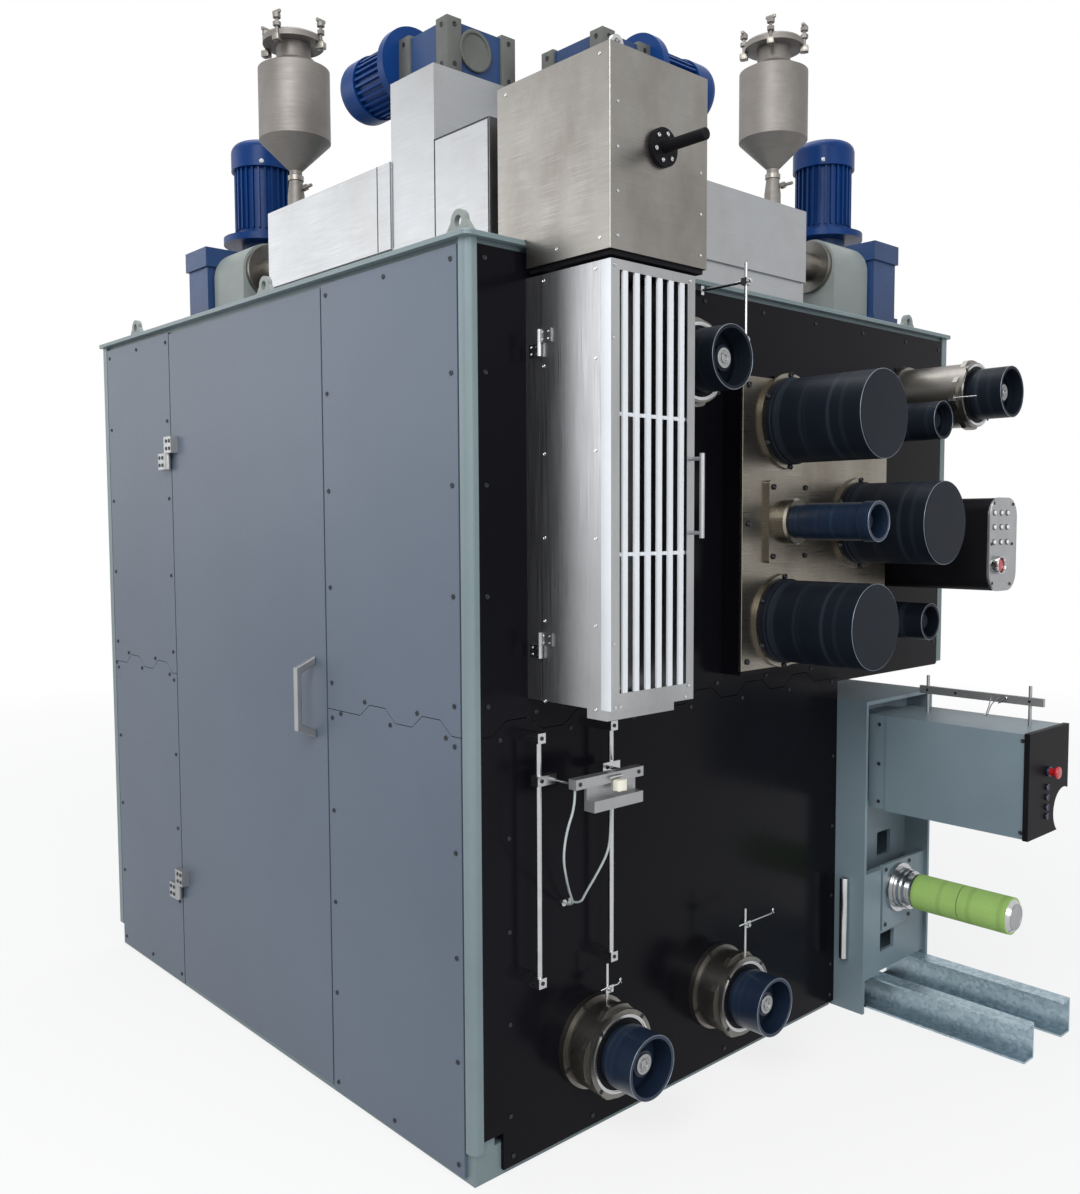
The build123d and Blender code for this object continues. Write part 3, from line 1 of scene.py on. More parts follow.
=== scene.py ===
"""Dresses the pilot melt spinning machine: finishes for every CAD node, and its small fittings.

Places are given in millimetres from the cabinet's front left corner at floor level, with x to the right
along the working front, y to the back and z up. The function at() turns them into the row frame.
"""

from __future__ import annotations

import logging
import math
from dataclasses import dataclass, field
from enum import Enum
from typing import Callable, Dict, List, Sequence, Tuple

import bpy
from mathutils import Matrix, Vector

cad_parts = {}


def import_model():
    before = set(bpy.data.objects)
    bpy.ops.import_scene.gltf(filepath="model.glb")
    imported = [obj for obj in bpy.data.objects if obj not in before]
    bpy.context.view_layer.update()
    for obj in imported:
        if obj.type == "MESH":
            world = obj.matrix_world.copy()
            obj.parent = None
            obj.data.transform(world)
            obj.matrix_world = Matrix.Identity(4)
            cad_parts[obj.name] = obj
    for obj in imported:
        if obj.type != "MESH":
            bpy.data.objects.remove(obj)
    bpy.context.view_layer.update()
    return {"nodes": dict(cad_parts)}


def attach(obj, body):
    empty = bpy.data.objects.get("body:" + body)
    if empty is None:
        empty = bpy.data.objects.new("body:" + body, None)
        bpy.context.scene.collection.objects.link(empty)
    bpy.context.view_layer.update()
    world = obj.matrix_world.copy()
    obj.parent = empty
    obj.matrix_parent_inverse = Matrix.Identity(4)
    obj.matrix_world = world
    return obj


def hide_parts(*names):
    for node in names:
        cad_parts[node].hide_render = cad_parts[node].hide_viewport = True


LOG = logging.getLogger("melt_spinning_machine")

Colour = Tuple[float, float, float]
Triple = Tuple[float, float, float]
Piece = bpy.types.Object
Socket = bpy.types.NodeSocket
Test = Callable[[bpy.types.MeshPolygon], bool]

CABINET_WIDTH = 2136.0
CABINET_DEPTH = 2102.0


def at(x: float, y: float, z: float) -> Vector:
    """Place in the row frame, in metres.

    Args:
        x: Millimetres to the right of the cabinet's left side.
        y: Millimetres behind the cabinet's front.
        z: Millimetres over the floor.

    Returns:
        The same place in metres, from the middle of the cabinet's footprint.
    """
    return Vector((x - CABINET_WIDTH / 2, y - CABINET_DEPTH / 2, z)) / 1000


def mm(length: float) -> float:
    """Millimetres as metres."""
    return length / 1000


def linear(colour: Colour) -> Tuple[float, float, float, float]:
    """Screen colour, 0 to 255 a channel, as the linear colour that a shader takes.

    Args:
        colour: Red, green and blue as they look on a screen.

    Returns:
        Linear red, green, blue and a full alpha.
    """
    def channel(value: float) -> float:
        """One channel made linear."""
        share = value / 255
        return share / 12.92 if share <= 0.04045 else ((share + 0.055) / 1.055) ** 2.4

    return (channel(colour[0]), channel(colour[1]), channel(colour[2]), 1.0)


def add_node(tree: bpy.types.NodeTree, kind: str, **values: object) -> bpy.types.Node:
    """A shader node with its inputs set.

    Args:
        tree: The node tree.
        kind: The node's type, without the word that all shader nodes start with.
        values: Value of each input, with _ for a space in the input's name.

    Returns:
        The new node.
    """
    node = tree.nodes.new("ShaderNode" + kind)
    for name, value in values.items():
        node.inputs[name.replace("_", " ")].default_value = value
    return node


class Facing(Enum):
    """The way that a fitting looks out from the machine."""

    FRONT = (0.0, -1.0, 0.0)
    BACK = (0.0, 1.0, 0.0)
    LEFT = (-1.0, 0.0, 0.0)
    RIGHT = (1.0, 0.0, 0.0)
    UP = (0.0, 0.0, 1.0)

    def turn(self) -> Matrix:
        """Rotation that lays a piece made along +z onto this direction."""
        return Vector((0.0, 0.0, 1.0)).rotation_difference(Vector(self.value)).to_matrix().to_4x4()


# Finishes


class Shading:
    """The nodes of one material, which read object coordinates.

    Attributes:
        tree: The material's node tree.
        place: Object coordinates.
    """

    def __init__(self, tree: bpy.types.NodeTree) -> None:
        """Start from the object coordinates."""
        self.tree = tree
        self.place = add_node(tree, "TexCoord").outputs["Object"]

    def noise(self, scale: Triple, detail: float, rough: float) -> Socket:
        """Noise stretched by a scale on each axis.

        Args:
            scale: Repeats per metre along each axis.
            detail: Octaves of the noise.
            rough: How strongly the fine octaves count.

        Returns:
            The noise's value.
        """
        mapping = add_node(self.tree, "Mapping", Scale=scale)
        self.tree.links.new(self.place, mapping.inputs["Vector"])
        noise = add_node(self.tree, "TexNoise", Scale=1.0, Detail=detail, Roughness=rough)
        self.tree.links.new(mapping.outputs["Vector"], noise.inputs["Vector"])
        return noise.outputs["Fac"]

    def stretch(self, value: Socket, low: float, high: float, start: float, end: float) -> Socket:
        """A value's range moved onto another range.

        Args:
            value: The value to move.
            low: Its lowest useful value.
            high: Its highest useful value.
            start: What the lowest becomes.
            end: What the highest becomes.

        Returns:
            The moved value.
        """
        node = add_node(self.tree, "MapRange", From_Min=low, From_Max=high, To_Min=start, To_Max=end)
        self.tree.links.new(value, node.inputs["Value"])
        return node.outputs["Result"]

    def blend(
        self, first: Socket | Colour, second: Socket | Colour, value: Socket, low: float, high: float,
        most: float,
    ) -> Socket:
        """One colour that comes over another where a value rises.

        Args:
            first: The colour below.
            second: The colour that comes over it.
            value: What decides between them.
            low: Up to this value only the first shows.
            high: From this value the second is at its strongest.
            most: How strongly the second then shows, from 0 to 1.

        Returns:
            The mixed colour.
        """
        node = add_node(self.tree, "Mix")
        node.data_type = "RGBA"
        self.tree.links.new(self.stretch(value, low, high, 0.0, most), node.inputs["Factor"])
        for socket, colour in ((node.inputs[6], first), (node.inputs[7], second)):
            if isinstance(colour, Socket):
                self.tree.links.new(colour, socket)
            else:
                socket.default_value = linear(colour)
        return node.outputs[2]


@dataclass(frozen=True)
class Finish:
    """One surface finish: a base colour in soft patches, a fine grain and its sheen.

    Attributes:
        name: The material's name.
        colour: Colour of most of the surface.
        patch: Colour of its soft patches.
        metallic: 0 for paint and plastic, 1 for bare metal.
        roughness: Middle value of the roughness.
        swing: How far the grain moves the roughness each way.
        patch_scale: Patches per metre.
        patch_share: How strongly the patches show.
        grain: Grain lines per metre along x, y and z.
        relief: Depth of the grain, in millimetres.
        specular: Strength of the surface reflection.
        coat: Strength of a clear coat.
    """

    name: str
    colour: Colour
    patch: Colour
    metallic: float = 0.0
    roughness: float = 0.45
    swing: float = 0.08
    patch_scale: float = 3.0
    patch_share: float = 0.5
    grain: Triple = (700.0, 700.0, 700.0)
    relief: float = 0.03
    specular: float = 0.5
    coat: float = 0.0

    def build(self) -> bpy.types.Material:
        """Make the material.

        Returns:
            The finished node material.
        """
        material = bpy.data.materials.new(self.name)
        material.use_nodes = True
        tree = material.node_tree
        shader = tree.nodes["Principled BSDF"]
        shader.inputs["Metallic"].default_value = self.metallic
        shader.inputs["Specular IOR Level"].default_value = self.specular
        shader.inputs["Coat Weight"].default_value = self.coat
        shader.inputs["Coat Roughness"].default_value = 0.08
        shading = Shading(tree)
        patches = shading.noise((self.patch_scale,) * 3, 5.0, 0.6)
        grain = shading.noise(self.grain, 3.0, 0.5)
        colour = shading.blend(self.colour, self.patch, patches, 0.35, 0.65, self.patch_share)
        tree.links.new(self.pattern(shading, colour, grain), shader.inputs["Base Color"])
        sheen = shading.stretch(grain, 0.3, 0.7, self.roughness - self.swing, self.roughness + self.swing)
        tree.links.new(sheen, shader.inputs["Roughness"])
        bump = add_node(tree, "Bump", Strength=0.6, Distance=mm(self.relief))
        tree.links.new(self.height(shading, grain), bump.inputs["Height"])
        tree.links.new(bump.outputs["Normal"], shader.inputs["Normal"])
        return material

    def pattern(self, shading: Shading, colour: Socket, grain: Socket) -> Socket:
        """What a finish adds to its colour: here the grain in the colour of the patches."""
        return shading.blend(colour, self.patch, grain, 0.45, 0.75, 0.25)

    def height(self, shading: Shading, grain: Socket) -> Socket:
        """Height of the surface's relief: here the grain alone."""
        return grain


@dataclass(frozen=True)
class StainedSteel(Finish):
    """Brushed sheet with brownish heat and finger stains in broad clouds.

    Attributes:
        stain: Colour of the stains.
        stain_share: How strongly they show.
    """

    stain: Colour = (112, 98, 86)
    stain_share: float = 0.6

    def pattern(self, shading: Shading, colour: Socket, grain: Socket) -> Socket:
        """The sheet's colour with its stains over the brushing."""
        lined = shading.blend(colour, self.patch, grain, 0.4, 0.8, 0.4)
        cloud = shading.noise((4.2, 4.2, 2.4), 7.0, 0.62)
        return shading.blend(lined, self.stain, cloud, 0.48, 0.72, self.stain_share)


@dataclass(frozen=True)
class TurnedCoating(Finish):
    """Dark roll coating with bands that run round the roll, which lies along y.

    Attributes:
        band: Colour of the wear bands.
        bands: Bands per metre.
        turning: Turning lines per metre.
    """

    band: Colour = (58, 66, 80)
    bands: float = 26.0
    turning: float = 900.0

    def pattern(self, shading: Shading, colour: Socket, grain: Socket) -> Socket:
        """The coating's colour with its lighter wear bands."""
        rings = shading.noise((0.0, self.bands, 0.0), 3.0, 0.6)
        return shading.blend(colour, self.band, rings, 0.52, 0.64, 0.55)

    def height(self, shading: Shading, grain: Socket) -> Socket:
        """Fine turning lines round the roll."""
        return shading.noise((0.0, self.turning, 0.0), 2.0, 0.5)


@dataclass(frozen=True)
class Galvanised(Finish):
    """Zinc coating with its spangle.

    Attributes:
        spangle: Colour of the brightest crystals.
        crystals: Crystals per metre.
    """

    spangle: Colour = (196, 212, 222)
    crystals: float = 85.0

    def pattern(self, shading: Shading, colour: Socket, grain: Socket) -> Socket:
        """The zinc's colour with its crystals, each in a tone of its own."""
        tree = shading.tree
        cells = add_node(tree, "TexVoronoi", Scale=self.crystals)
        tree.links.new(shading.place, cells.inputs["Vector"])
        split = add_node(tree, "SeparateColor")
        tree.links.new(cells.outputs["Color"], split.inputs["Color"])
        return shading.blend(colour, self.spangle, split.outputs[0], 0.0, 1.0, 0.55)


@dataclass(frozen=True)
class WoundPaper(Finish):
    """Paper tube of wound strip: a spiral seam and short fibres.

    Attributes:
        seam: Colour of the seam.
    """

    seam: Colour = (104, 140, 62)

    def pattern(self, shading: Shading, colour: Socket, grain: Socket) -> Socket:
        """The paper's colour with its seam lines across the tube."""
        wave = add_node(shading.tree, "TexWave", Scale=3.2, Distortion=1.4, Detail=1.0)
        wave.wave_type = "BANDS"
        wave.bands_direction = "Y"
        shading.tree.links.new(shading.place, wave.inputs["Vector"])
        fibres = shading.blend(colour, self.patch, grain, 0.35, 0.75, 0.5)
        return shading.blend(fibres, self.seam, wave.outputs["Fac"], 0.9, 1.0, 0.35)


class Paint(Enum):
    """The finishes of this machine."""

    SIDE = Finish(
        "slate_satin_paint", (86, 97, 111), (75, 85, 98), roughness=0.42, patch_scale=1.1,
        relief=0.015, specular=0.35,
    )
    BLACK_SHEET = Finish(
        "black_gloss_sheet", (13, 13, 17), (18, 18, 23), roughness=0.2, swing=0.05, patch_scale=1.6,
        specular=0.06, relief=0.006,
    )
    FRAME = Finish("grey_green_frame_paint", (112, 127, 130), (96, 111, 114), roughness=0.4, specular=0.4)
    COVER = StainedSteel(
        "brushed_cover_sheet", (168, 170, 173), (147, 149, 151), metallic=1.0, roughness=0.36, swing=0.07,
        patch_scale=2.2, grain=(9.0, 9.0, 900.0), relief=0.01, stain=(138, 135, 131), stain_share=0.35,
    )
    SPIN_BOX = StainedSteel(
        "stained_box_sheet", (148, 146, 142), (122, 119, 115), metallic=1.0, roughness=0.34, swing=0.08,
        patch_scale=2.6, grain=(10.0, 10.0, 800.0), relief=0.012, stain=(98, 90, 82), stain_share=0.5,
    )
    QUENCH = StainedSteel(
        "brushed_hood_sheet", (174, 175, 177), (150, 152, 155), metallic=1.0, roughness=0.34, swing=0.08,
        patch_scale=2.0, grain=(700.0, 700.0, 6.0), relief=0.01, stain=(118, 115, 111), stain_share=0.35,
    )
    SLAT = Finish("white_slat_paint", (214, 217, 220), (196, 200, 204), roughness=0.4, patch_scale=6.0)
    PLATE = StainedSteel(
        "stained_plate", (146, 141, 131), (116, 111, 101), metallic=1.0, roughness=0.32, swing=0.08,
        patch_scale=5.0, grain=(8.0, 8.0, 600.0), relief=0.012, stain=(90, 80, 66), stain_share=0.6,
    )
    HOPPER = StainedSteel(
        "spun_steel", (132, 128, 124), (106, 102, 98), metallic=0.6, roughness=0.55, swing=0.08,
        patch_scale=7.0, grain=(14.0, 14.0, 900.0), relief=0.02, stain=(90, 86, 82), stain_share=0.4,
    )
    HOUSING = StainedSteel(
        "turned_housing_steel", (134, 131, 126), (104, 101, 97), metallic=1.0, roughness=0.36, swing=0.08,
        patch_scale=8.0, grain=(30.0, 900.0, 30.0), relief=0.01, stain=(88, 84, 79), stain_share=0.35,
    )
    BRIGHT = Finish(
        "bright_steel", (196, 197, 198), (168, 170, 172), metallic=1.0, roughness=0.22, swing=0.06,
        patch_scale=20.0, grain=(500.0, 500.0, 500.0), relief=0.005,
    )
    CAST = Finish(
        "grey_green_cast_paint", (134, 141, 138), (116, 123, 121), roughness=0.5, patch_scale=6.0,
        grain=(260.0, 260.0, 260.0), relief=0.14, specular=0.4,
    )
    BLUE = Finish(
        "blue_drive_paint", (10, 54, 112), (7, 40, 88), roughness=0.36, patch_scale=6.0,
        grain=(240.0, 240.0, 240.0), relief=0.1, specular=0.15,
    )
    BLUE_CASE = Finish(
        "dark_blue_case_paint", (34, 62, 104), (24, 46, 82), roughness=0.42, patch_scale=7.0,
        grain=(220.0, 220.0, 220.0), relief=0.14, specular=0.3,
    )
    ROLL = TurnedCoating(
        "roll_coating", (22, 27, 35), (16, 20, 27), roughness=0.42, swing=0.06, patch_scale=5.0, relief=0.02,
        specular=0.08, band=(46, 53, 64),
    )
    ROLL_BLUE = TurnedCoating(
        "blue_roll_coating", (26, 38, 56), (18, 28, 42), roughness=0.32, swing=0.06, patch_scale=6.0,
        relief=0.02, specular=0.3, band=(40, 60, 84), bands=40.0,
    )
    BLACK = Finish(
        "black_box_paint", (16, 16, 19), (22, 22, 25), roughness=0.5, patch_scale=5.0, relief=0.05,
        specular=0.08,
    )
    ALUMINIUM = Finish(
        "cast_aluminium", (164, 165, 166), (144, 146, 148), metallic=0.85, roughness=0.4, patch_scale=14.0,
        grain=(420.0, 420.0, 420.0), relief=0.05,
    )
    WINDER = Finish("winder_paint", (116, 132, 140), (102, 118, 126), roughness=0.42, specular=0.4)
    ZINC = Galvanised(
        "galvanised_sheet", (144, 164, 174), (124, 144, 154), metallic=0.85, roughness=0.38, patch_scale=6.0,
        relief=0.02,
    )
    PAPER = WoundPaper(
        "green_paper_tube", (158, 194, 110), (138, 174, 92), roughness=0.75, patch_scale=8.0,
        grain=(160.0, 500.0, 160.0), relief=0.06, specular=0.3, seam=(112, 144, 76),
    )
    HOSE = Finish(
        "clear_hose", (168, 175, 174), (148, 156, 156), roughness=0.25, patch_scale=30.0, relief=0.01,
        coat=0.4,
    )
    SCREW = Finish(
        "blackened_screw", (34, 36, 40), (52, 54, 58), metallic=0.6, roughness=0.4, patch_scale=120.0,
        grain=(900.0, 900.0, 900.0), relief=0.01,
    )
    RED = Finish(
        "red_knob", (186, 28, 34), (150, 20, 26), roughness=0.3, patch_scale=40.0, coat=0.3, relief=0.005,
    )
    WHITE = Finish(
        "white_knob", (226, 228, 226), (205, 207, 206), roughness=0.35, patch_scale=40.0, relief=0.005,
    )
    CASE_GREY = Finish(
        "grey_case_paint", (84, 86, 82), (66, 68, 66), roughness=0.5, patch_scale=14.0,
        grain=(260.0, 260.0, 260.0), relief=0.12,
    )
    CAST_METAL = Finish(
        "cast_clamp_steel", (150, 146, 140), (112, 108, 102), metallic=0.9, roughness=0.42, patch_scale=40.0,
        grain=(400.0, 400.0, 400.0), relief=0.05,
    )
    WORN = Finish(
        "worn_roll_edge", (128, 138, 150), (90, 100, 112), metallic=0.6, roughness=0.4, patch_scale=30.0,
    )
    CERAMIC = Finish(
        "cream_ceramic", (232, 228, 212), (214, 208, 190), roughness=0.25, patch_scale=40.0, coat=0.3,
    )
    NAVY = Finish("dark_button", (26, 30, 52), (18, 22, 40), roughness=0.3, patch_scale=60.0, relief=0.005)


class Paintbox:
    """Builds each finish once and hands it out."""

    def __init__(self) -> None:
        """Start with no finish built."""
        self.built: Dict[Paint, bpy.types.Material] = {}

    def material(self, paint: Paint) -> bpy.types.Material:
        """The material of a finish.

        Args:
            paint: Which finish.

        Returns:
            Its material, made on first use.
        """
        if paint not in self.built:
            self.built[paint] = paint.value.build()
        return self.built[paint]

    def coat(self, piece: Piece, paint: Paint) -> None:
        """Give a mesh or curve one finish all over."""
        piece.data.materials.clear()
        piece.data.materials.append(self.material(paint))


# Modelling by hand


class Bench:
    """The modelling steps that the fittings share.

    Attributes:
        paintbox: Where the finishes come from.
        smooth_under: Edges under this many degrees are shaded smooth.
    """

    smooth_under = 35.0

    def __init__(self, paintbox: Paintbox) -> None:
        """Keep the finishes at hand."""
        self.paintbox = paintbox

    def clear(self) -> None:
        """Deselect everything."""
        bpy.ops.object.select_all(action="DESELECT")

    def take(self, piece: Piece) -> None:
        """Select one piece alone and make it active."""
        self.clear()
        piece.select_set(True)
        bpy.context.view_layer.objects.active = piece

    def settle(self, name: str) -> Piece:
        """Name the primitive that was just added, and leave its object at the origin.

        Args:
            name: Name of the piece.

        Returns:
            The piece.
        """
        piece = bpy.context.object
        piece.name = name
        self.place(piece, Matrix.Identity(4))
        return piece

    def round_stock(self, name: str, radius: float, length: float, sides: int) -> Piece:
        """A cylinder standing on the origin along +z.

        Args:
            name: Name of the piece.
            radius: Radius in millimetres.
            length: Length in millimetres.
            sides: Facets round it.

        Returns:
            The new object.
        """
        self.clear()
        bpy.ops.mesh.primitive_cylinder_add(
            vertices=sides, radius=mm(radius), depth=mm(length), location=(0, 0, mm(length) / 2)
        )
        return self.settle(name)

    def block(self, name: str, size: Triple, edge: float = 0.0) -> Piece:
        """A block standing on the origin, its edges eased.

        Args:
            name: Name of the piece.
            size: Width, depth and height in millimetres.
            edge: Width of the eased edge in millimetres.

        Returns:
            The new object.
        """
        self.clear()
        bpy.ops.mesh.primitive_cube_add(
            size=1.0, location=(0, 0, mm(size[2]) / 2), scale=[mm(side) for side in size]
        )
        piece = self.settle(name)
        if edge > 0:
            self.select_faces(piece, lambda face: True)
            bpy.ops.mesh.bevel(offset=mm(edge), segments=2, affect="EDGES")
            bpy.ops.object.mode_set(mode="OBJECT")
        return piece

    def rounded_plate(self, name: str, size: Triple, corner: float) -> Piece:
        """A flat plate with rounded corners, lying on the origin.

        Args:
            name: Name of the piece.
            size: Width, depth and thickness in millimetres.
            corner: Radius of its corners in millimetres.

        Returns:
            The new object.
        """
        piece = self.block(name, size)
        self.unselect(piece, "EDGE")
        spots = piece.data.vertices
        for edge in piece.data.edges:
            first, last = (spots[index].co for index in edge.vertices)
            edge.select = abs(first.z - last.z) > mm(size[2]) / 2
        bpy.ops.object.mode_set(mode="EDIT")
        bpy.ops.mesh.bevel(offset=mm(corner), segments=14, affect="EDGES")
        bpy.ops.object.mode_set(mode="OBJECT")
        return piece

    def slab(self, name: str, low: Triple, high: Triple, edge: float = 0.0) -> Piece:
        """A block between two corners given in millimetres.

        Args:
            name: Name of the piece.
            low: One corner.
            high: The opposite corner.
            edge: Width of the eased edge in millimetres.

        Returns:
            The new object, in its place.
        """
        size = tuple(abs(high[axis] - low[axis]) for axis in range(3))
        middle = [(high[axis] + low[axis]) / 2 for axis in range(2)]
        piece = self.block(name, size, edge)
        self.place(piece, Matrix.Translation(at(middle[0], middle[1], min(low[2], high[2]))))
        return piece

    def path(self, name: str, points: Sequence[Triple], radius: float) -> Piece:
        """A round bar along a smooth line.

        Args:
            name: Name of the piece.
            points: Control points in millimetres.
            radius: Its radius in millimetres.

        Returns:
            The curve object.
        """
        self.clear()
        bpy.ops.curve.primitive_nurbs_path_add(location=(0, 0, 0))
        curve = bpy.context.object
        curve.name = name
        curve.data.splines.clear()
        spline = curve.data.splines.new("NURBS")
        spline.points.add(len(points) - 1)
        for point, place in zip(spline.points, points):
            point.co = (*at(*place), 1.0)
        spline.order_u = 3
        spline.use_endpoint_u = True
        curve.data.dimensions = "3D"
        curve.data.resolution_u = 12
        curve.data.bevel_depth = mm(radius)
        curve.data.bevel_resolution = 3
        curve.data.use_fill_caps = True
        return curve

    def wire(self, name: str, points: Sequence[Triple], radius: float = 1.6) -> Piece:
        """A bent wire as a mesh of its own.

        Args:
            name: Name of the piece.
            points: Control points in millimetres.
            radius: Its radius in millimetres.

        Returns:
            The mesh object.
        """
        piece = self.path(name, points, radius)
        self.take(piece)
        bpy.ops.object.convert(target="MESH")
        return bpy.context.object

    def place(self, piece: Piece, matrix: Matrix) -> None:
        """Move a piece by a matrix and leave its object at the origin.

        Args:
            piece: The piece.
            matrix: Where it goes.
        """
        self.take(piece)
        piece.matrix_world = matrix @ piece.matrix_world
        bpy.ops.object.transform_apply(location=True, rotation=True, scale=True)

    def stand(self, piece: Piece, place: Vector, facing: Facing) -> None:
        """Lay a piece made along +z onto a face of the machine, at a point in the row frame."""
        self.place(piece, Matrix.Translation(place) @ facing.turn())

    def unselect(self, piece: Piece, kind: str) -> None:
        """Leave nothing of a piece's mesh selected.

        Args:
            piece: The piece.
            kind: What is selected next: EDGE or FACE.
        """
        self.take(piece)
        bpy.ops.object.mode_set(mode="EDIT")
        bpy.ops.mesh.select_mode(type=kind)
        bpy.ops.mesh.select_all(action="DESELECT")
        bpy.ops.object.mode_set(mode="OBJECT")

    def select_faces(self, piece: Piece, test: Test) -> None:
        """Enter edit mode with only the faces selected that pass a test.

        Args:
            piece: The piece.
            test: Tells whether a face is wanted.
        """
        self.unselect(piece, "FACE")
        for face in piece.data.polygons:
            face.select = test(face)
        bpy.ops.object.mode_set(mode="EDIT")

    def top(self, piece: Piece) -> Test:
        """Test for the faces at the very top of a piece made along +z."""
        height = max(vertex.co.z for vertex in piece.data.vertices)
        return lambda face: face.normal.z > 0.9 and abs(face.center.z - height) < 1e-5

    def socket(self, piece: Piece, rim: float, depth: float) -> None:
        """Sink a recess into the top of a piece, inside a rim.

        Args:
            piece: The piece.
            rim: Width left standing round the recess, in millimetres.
            depth: Its depth in millimetres.
        """
        self.select_faces(piece, self.top(piece))
        bpy.ops.mesh.inset(thickness=mm(rim), depth=0.0)
        bpy.ops.mesh.inset(thickness=mm(0.2), depth=-mm(depth))
        bpy.ops.object.mode_set(mode="OBJECT")

    def raise_faces(self, rise: float) -> None:
        """Extrude the selected faces along +z by so many millimetres, in edit mode."""
        bpy.ops.mesh.extrude_region_move(TRANSFORM_OT_translate={"value": (0.0, 0.0, mm(rise))})

    def ease(self, piece: Piece, width: float, segments: int = 2, angle: float = 50.0) -> None:
        """Round a piece's sharp edges.

        Args:
            piece: The piece.
            width: Width of the rounding in millimetres.
            segments: Steps of the rounding.
            angle: Edges sharper than this many degrees are rounded.
        """
        self.take(piece)
        bevel = piece.modifiers.new("ease", "BEVEL")
        bevel.width = mm(width)
        bevel.segments = segments
        bevel.limit_method = "ANGLE"
        bevel.angle_limit = math.radians(angle)
        bpy.ops.object.modifier_apply(modifier=bevel.name)

    def copy(self, piece: Piece, name: str) -> Piece:
        """A copy of a piece with a mesh of its own.

        Args:
            piece: The piece to copy.
            name: The copy's name.

        Returns:
            The copy.
        """
        self.take(piece)
        bpy.ops.object.duplicate(linked=False)
        twin = bpy.context.object
        twin.name = name
        return twin

    def repeat(self, piece: Piece, step: Vector, count: int) -> None:
        """Repeat a piece in a straight row.

        Args:
            piece: The first of the row.
            step: From one to the next, in metres.
            count: How many stand in the row.
        """
        self.take(piece)
        array = piece.modifiers.new("row", "ARRAY")
        array.use_relative_offset = False
        array.use_constant_offset = True
        array.constant_offset_displace = step
        array.count = count
        bpy.ops.object.modifier_apply(modifier=array.name)

    def join(self, pieces: Sequence[Piece], name: str) -> Piece:
        """Join pieces into one.

        Args:
            pieces: What is joined.
            name: Name of the whole.

        Returns:
            The joined object.
        """
        self.clear()
        for piece in pieces:
            piece.select_set(True)
        bpy.context.view_layer.objects.active = pieces[0]
        if len(pieces) > 1:
            bpy.ops.object.join()
        whole = bpy.context.object
        whole.name = name
        return whole

    def finish(self, piece: Piece, body: str, paint: Paint, slot: str) -> None:
        """Clean a piece's mesh, dress it and let it ride on its body.

        Args:
            piece: The piece, in its place.
            body: CAD body that carries it.
            paint: Its finish.
            slot: The record's material slot; not used.
        """
        self.select_faces(piece, lambda face: True)
        bpy.ops.mesh.remove_doubles(threshold=1e-6)
        bpy.ops.mesh.normals_make_consistent(inside=False)
        bpy.ops.object.mode_set(mode="OBJECT")
        bpy.ops.object.shade_smooth_by_angle(angle=math.radians(self.smooth_under))
        self.paintbox.coat(piece, paint)
        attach(piece, body)
        LOG.info("%s: %d faces on %s", piece.name, len(piece.data.polygons), body)


@dataclass(frozen=True)
class Turned:
    """A small turned fitting, its sizes in millimetres.

    Attributes:
        radius: Its radius.
        length: Its length.
        sides: Facets round it.
        edge: Width of its eased edges, 0 for sharp ones.
        steps: Steps of the easing.
        rim: Width left round a recess in its end, 0 for no recess.
        depth: Depth of the recess.
    """

    radius: float
    length: float
    sides: int
    edge: float = 0.0
    steps: int = 2
    rim: float = 0.0
    depth: float = 0.0

    def stand(self, bench: Bench, name: str, spot: Triple, facing: Facing = Facing.FRONT) -> Piece:
        """Make the fitting and stand it on a face.

        Args:
            bench: The modelling steps.
            name: Name of the piece.
            spot: Place on the face, in millimetres.
            facing: The way it looks out.

        Returns:
            The fitting, in its place.
        """
        piece = bench.round_stock(name, self.radius, self.length, self.sides)
        if self.rim > 0:
            bench.socket(piece, self.rim, self.depth)
        if self.edge > 0:
            bench.ease(piece, self.edge, self.steps)
        bench.stand(piece, at(*spot), facing)
        return piece


@dataclass
class Row:
    """A straight row of like fittings.

    Attributes:
        start: First place: x, y and z in millimetres.
        step: From one to the next, in millimetres.
        count: How many.
        facing: The way they look out.
    """

    start: Triple
    step: Triple = (0, 0, 0)
    count: int = 1
    facing: Facing = Facing.FRONT


@dataclass
class Screws:
    """Socket screws set in rows.

    Attributes:
        bench: The modelling steps.
        radius: Head radius in millimetres.
        height: Head height in millimetres.
    """

    bench: Bench
    radius: float
    height: float

    def head(self) -> Piece:
        """One screw head with its socket, standing on the origin."""
        piece = self.bench.round_stock("screw_head", self.radius, self.height, 12)
        self.bench.socket(piece, self.radius * 0.45, self.height * 0.6)
        self.bench.ease(piece, self.height * 0.3, 1, 60.0)
        return piece

    def set_rows(
        self, name: str, rows: Sequence[Row], body: str = "machine", paint: Paint = Paint.SCREW,
        slot: str = "bright_steel",
    ) -> None:
        """Set rows of screws and join them.

        Args:
            name: Name of the joined piece.
            rows: The rows.
            body: CAD body that carries it.
            paint: Finish of the heads.
            slot: The record's material slot.
        """
        master = self.head()
        made: List[Piece] = []
        for row in rows:
            one = self.bench.copy(master, name + "_row")
            self.bench.stand(one, at(*row.start), row.facing)
            if row.count > 1:
                self.bench.repeat(one, Vector(row.step) / 1000, row.count)
            made.append(one)
        bpy.data.objects.remove(master)
        self.bench.finish(self.bench.join(made, name), body, paint, slot)


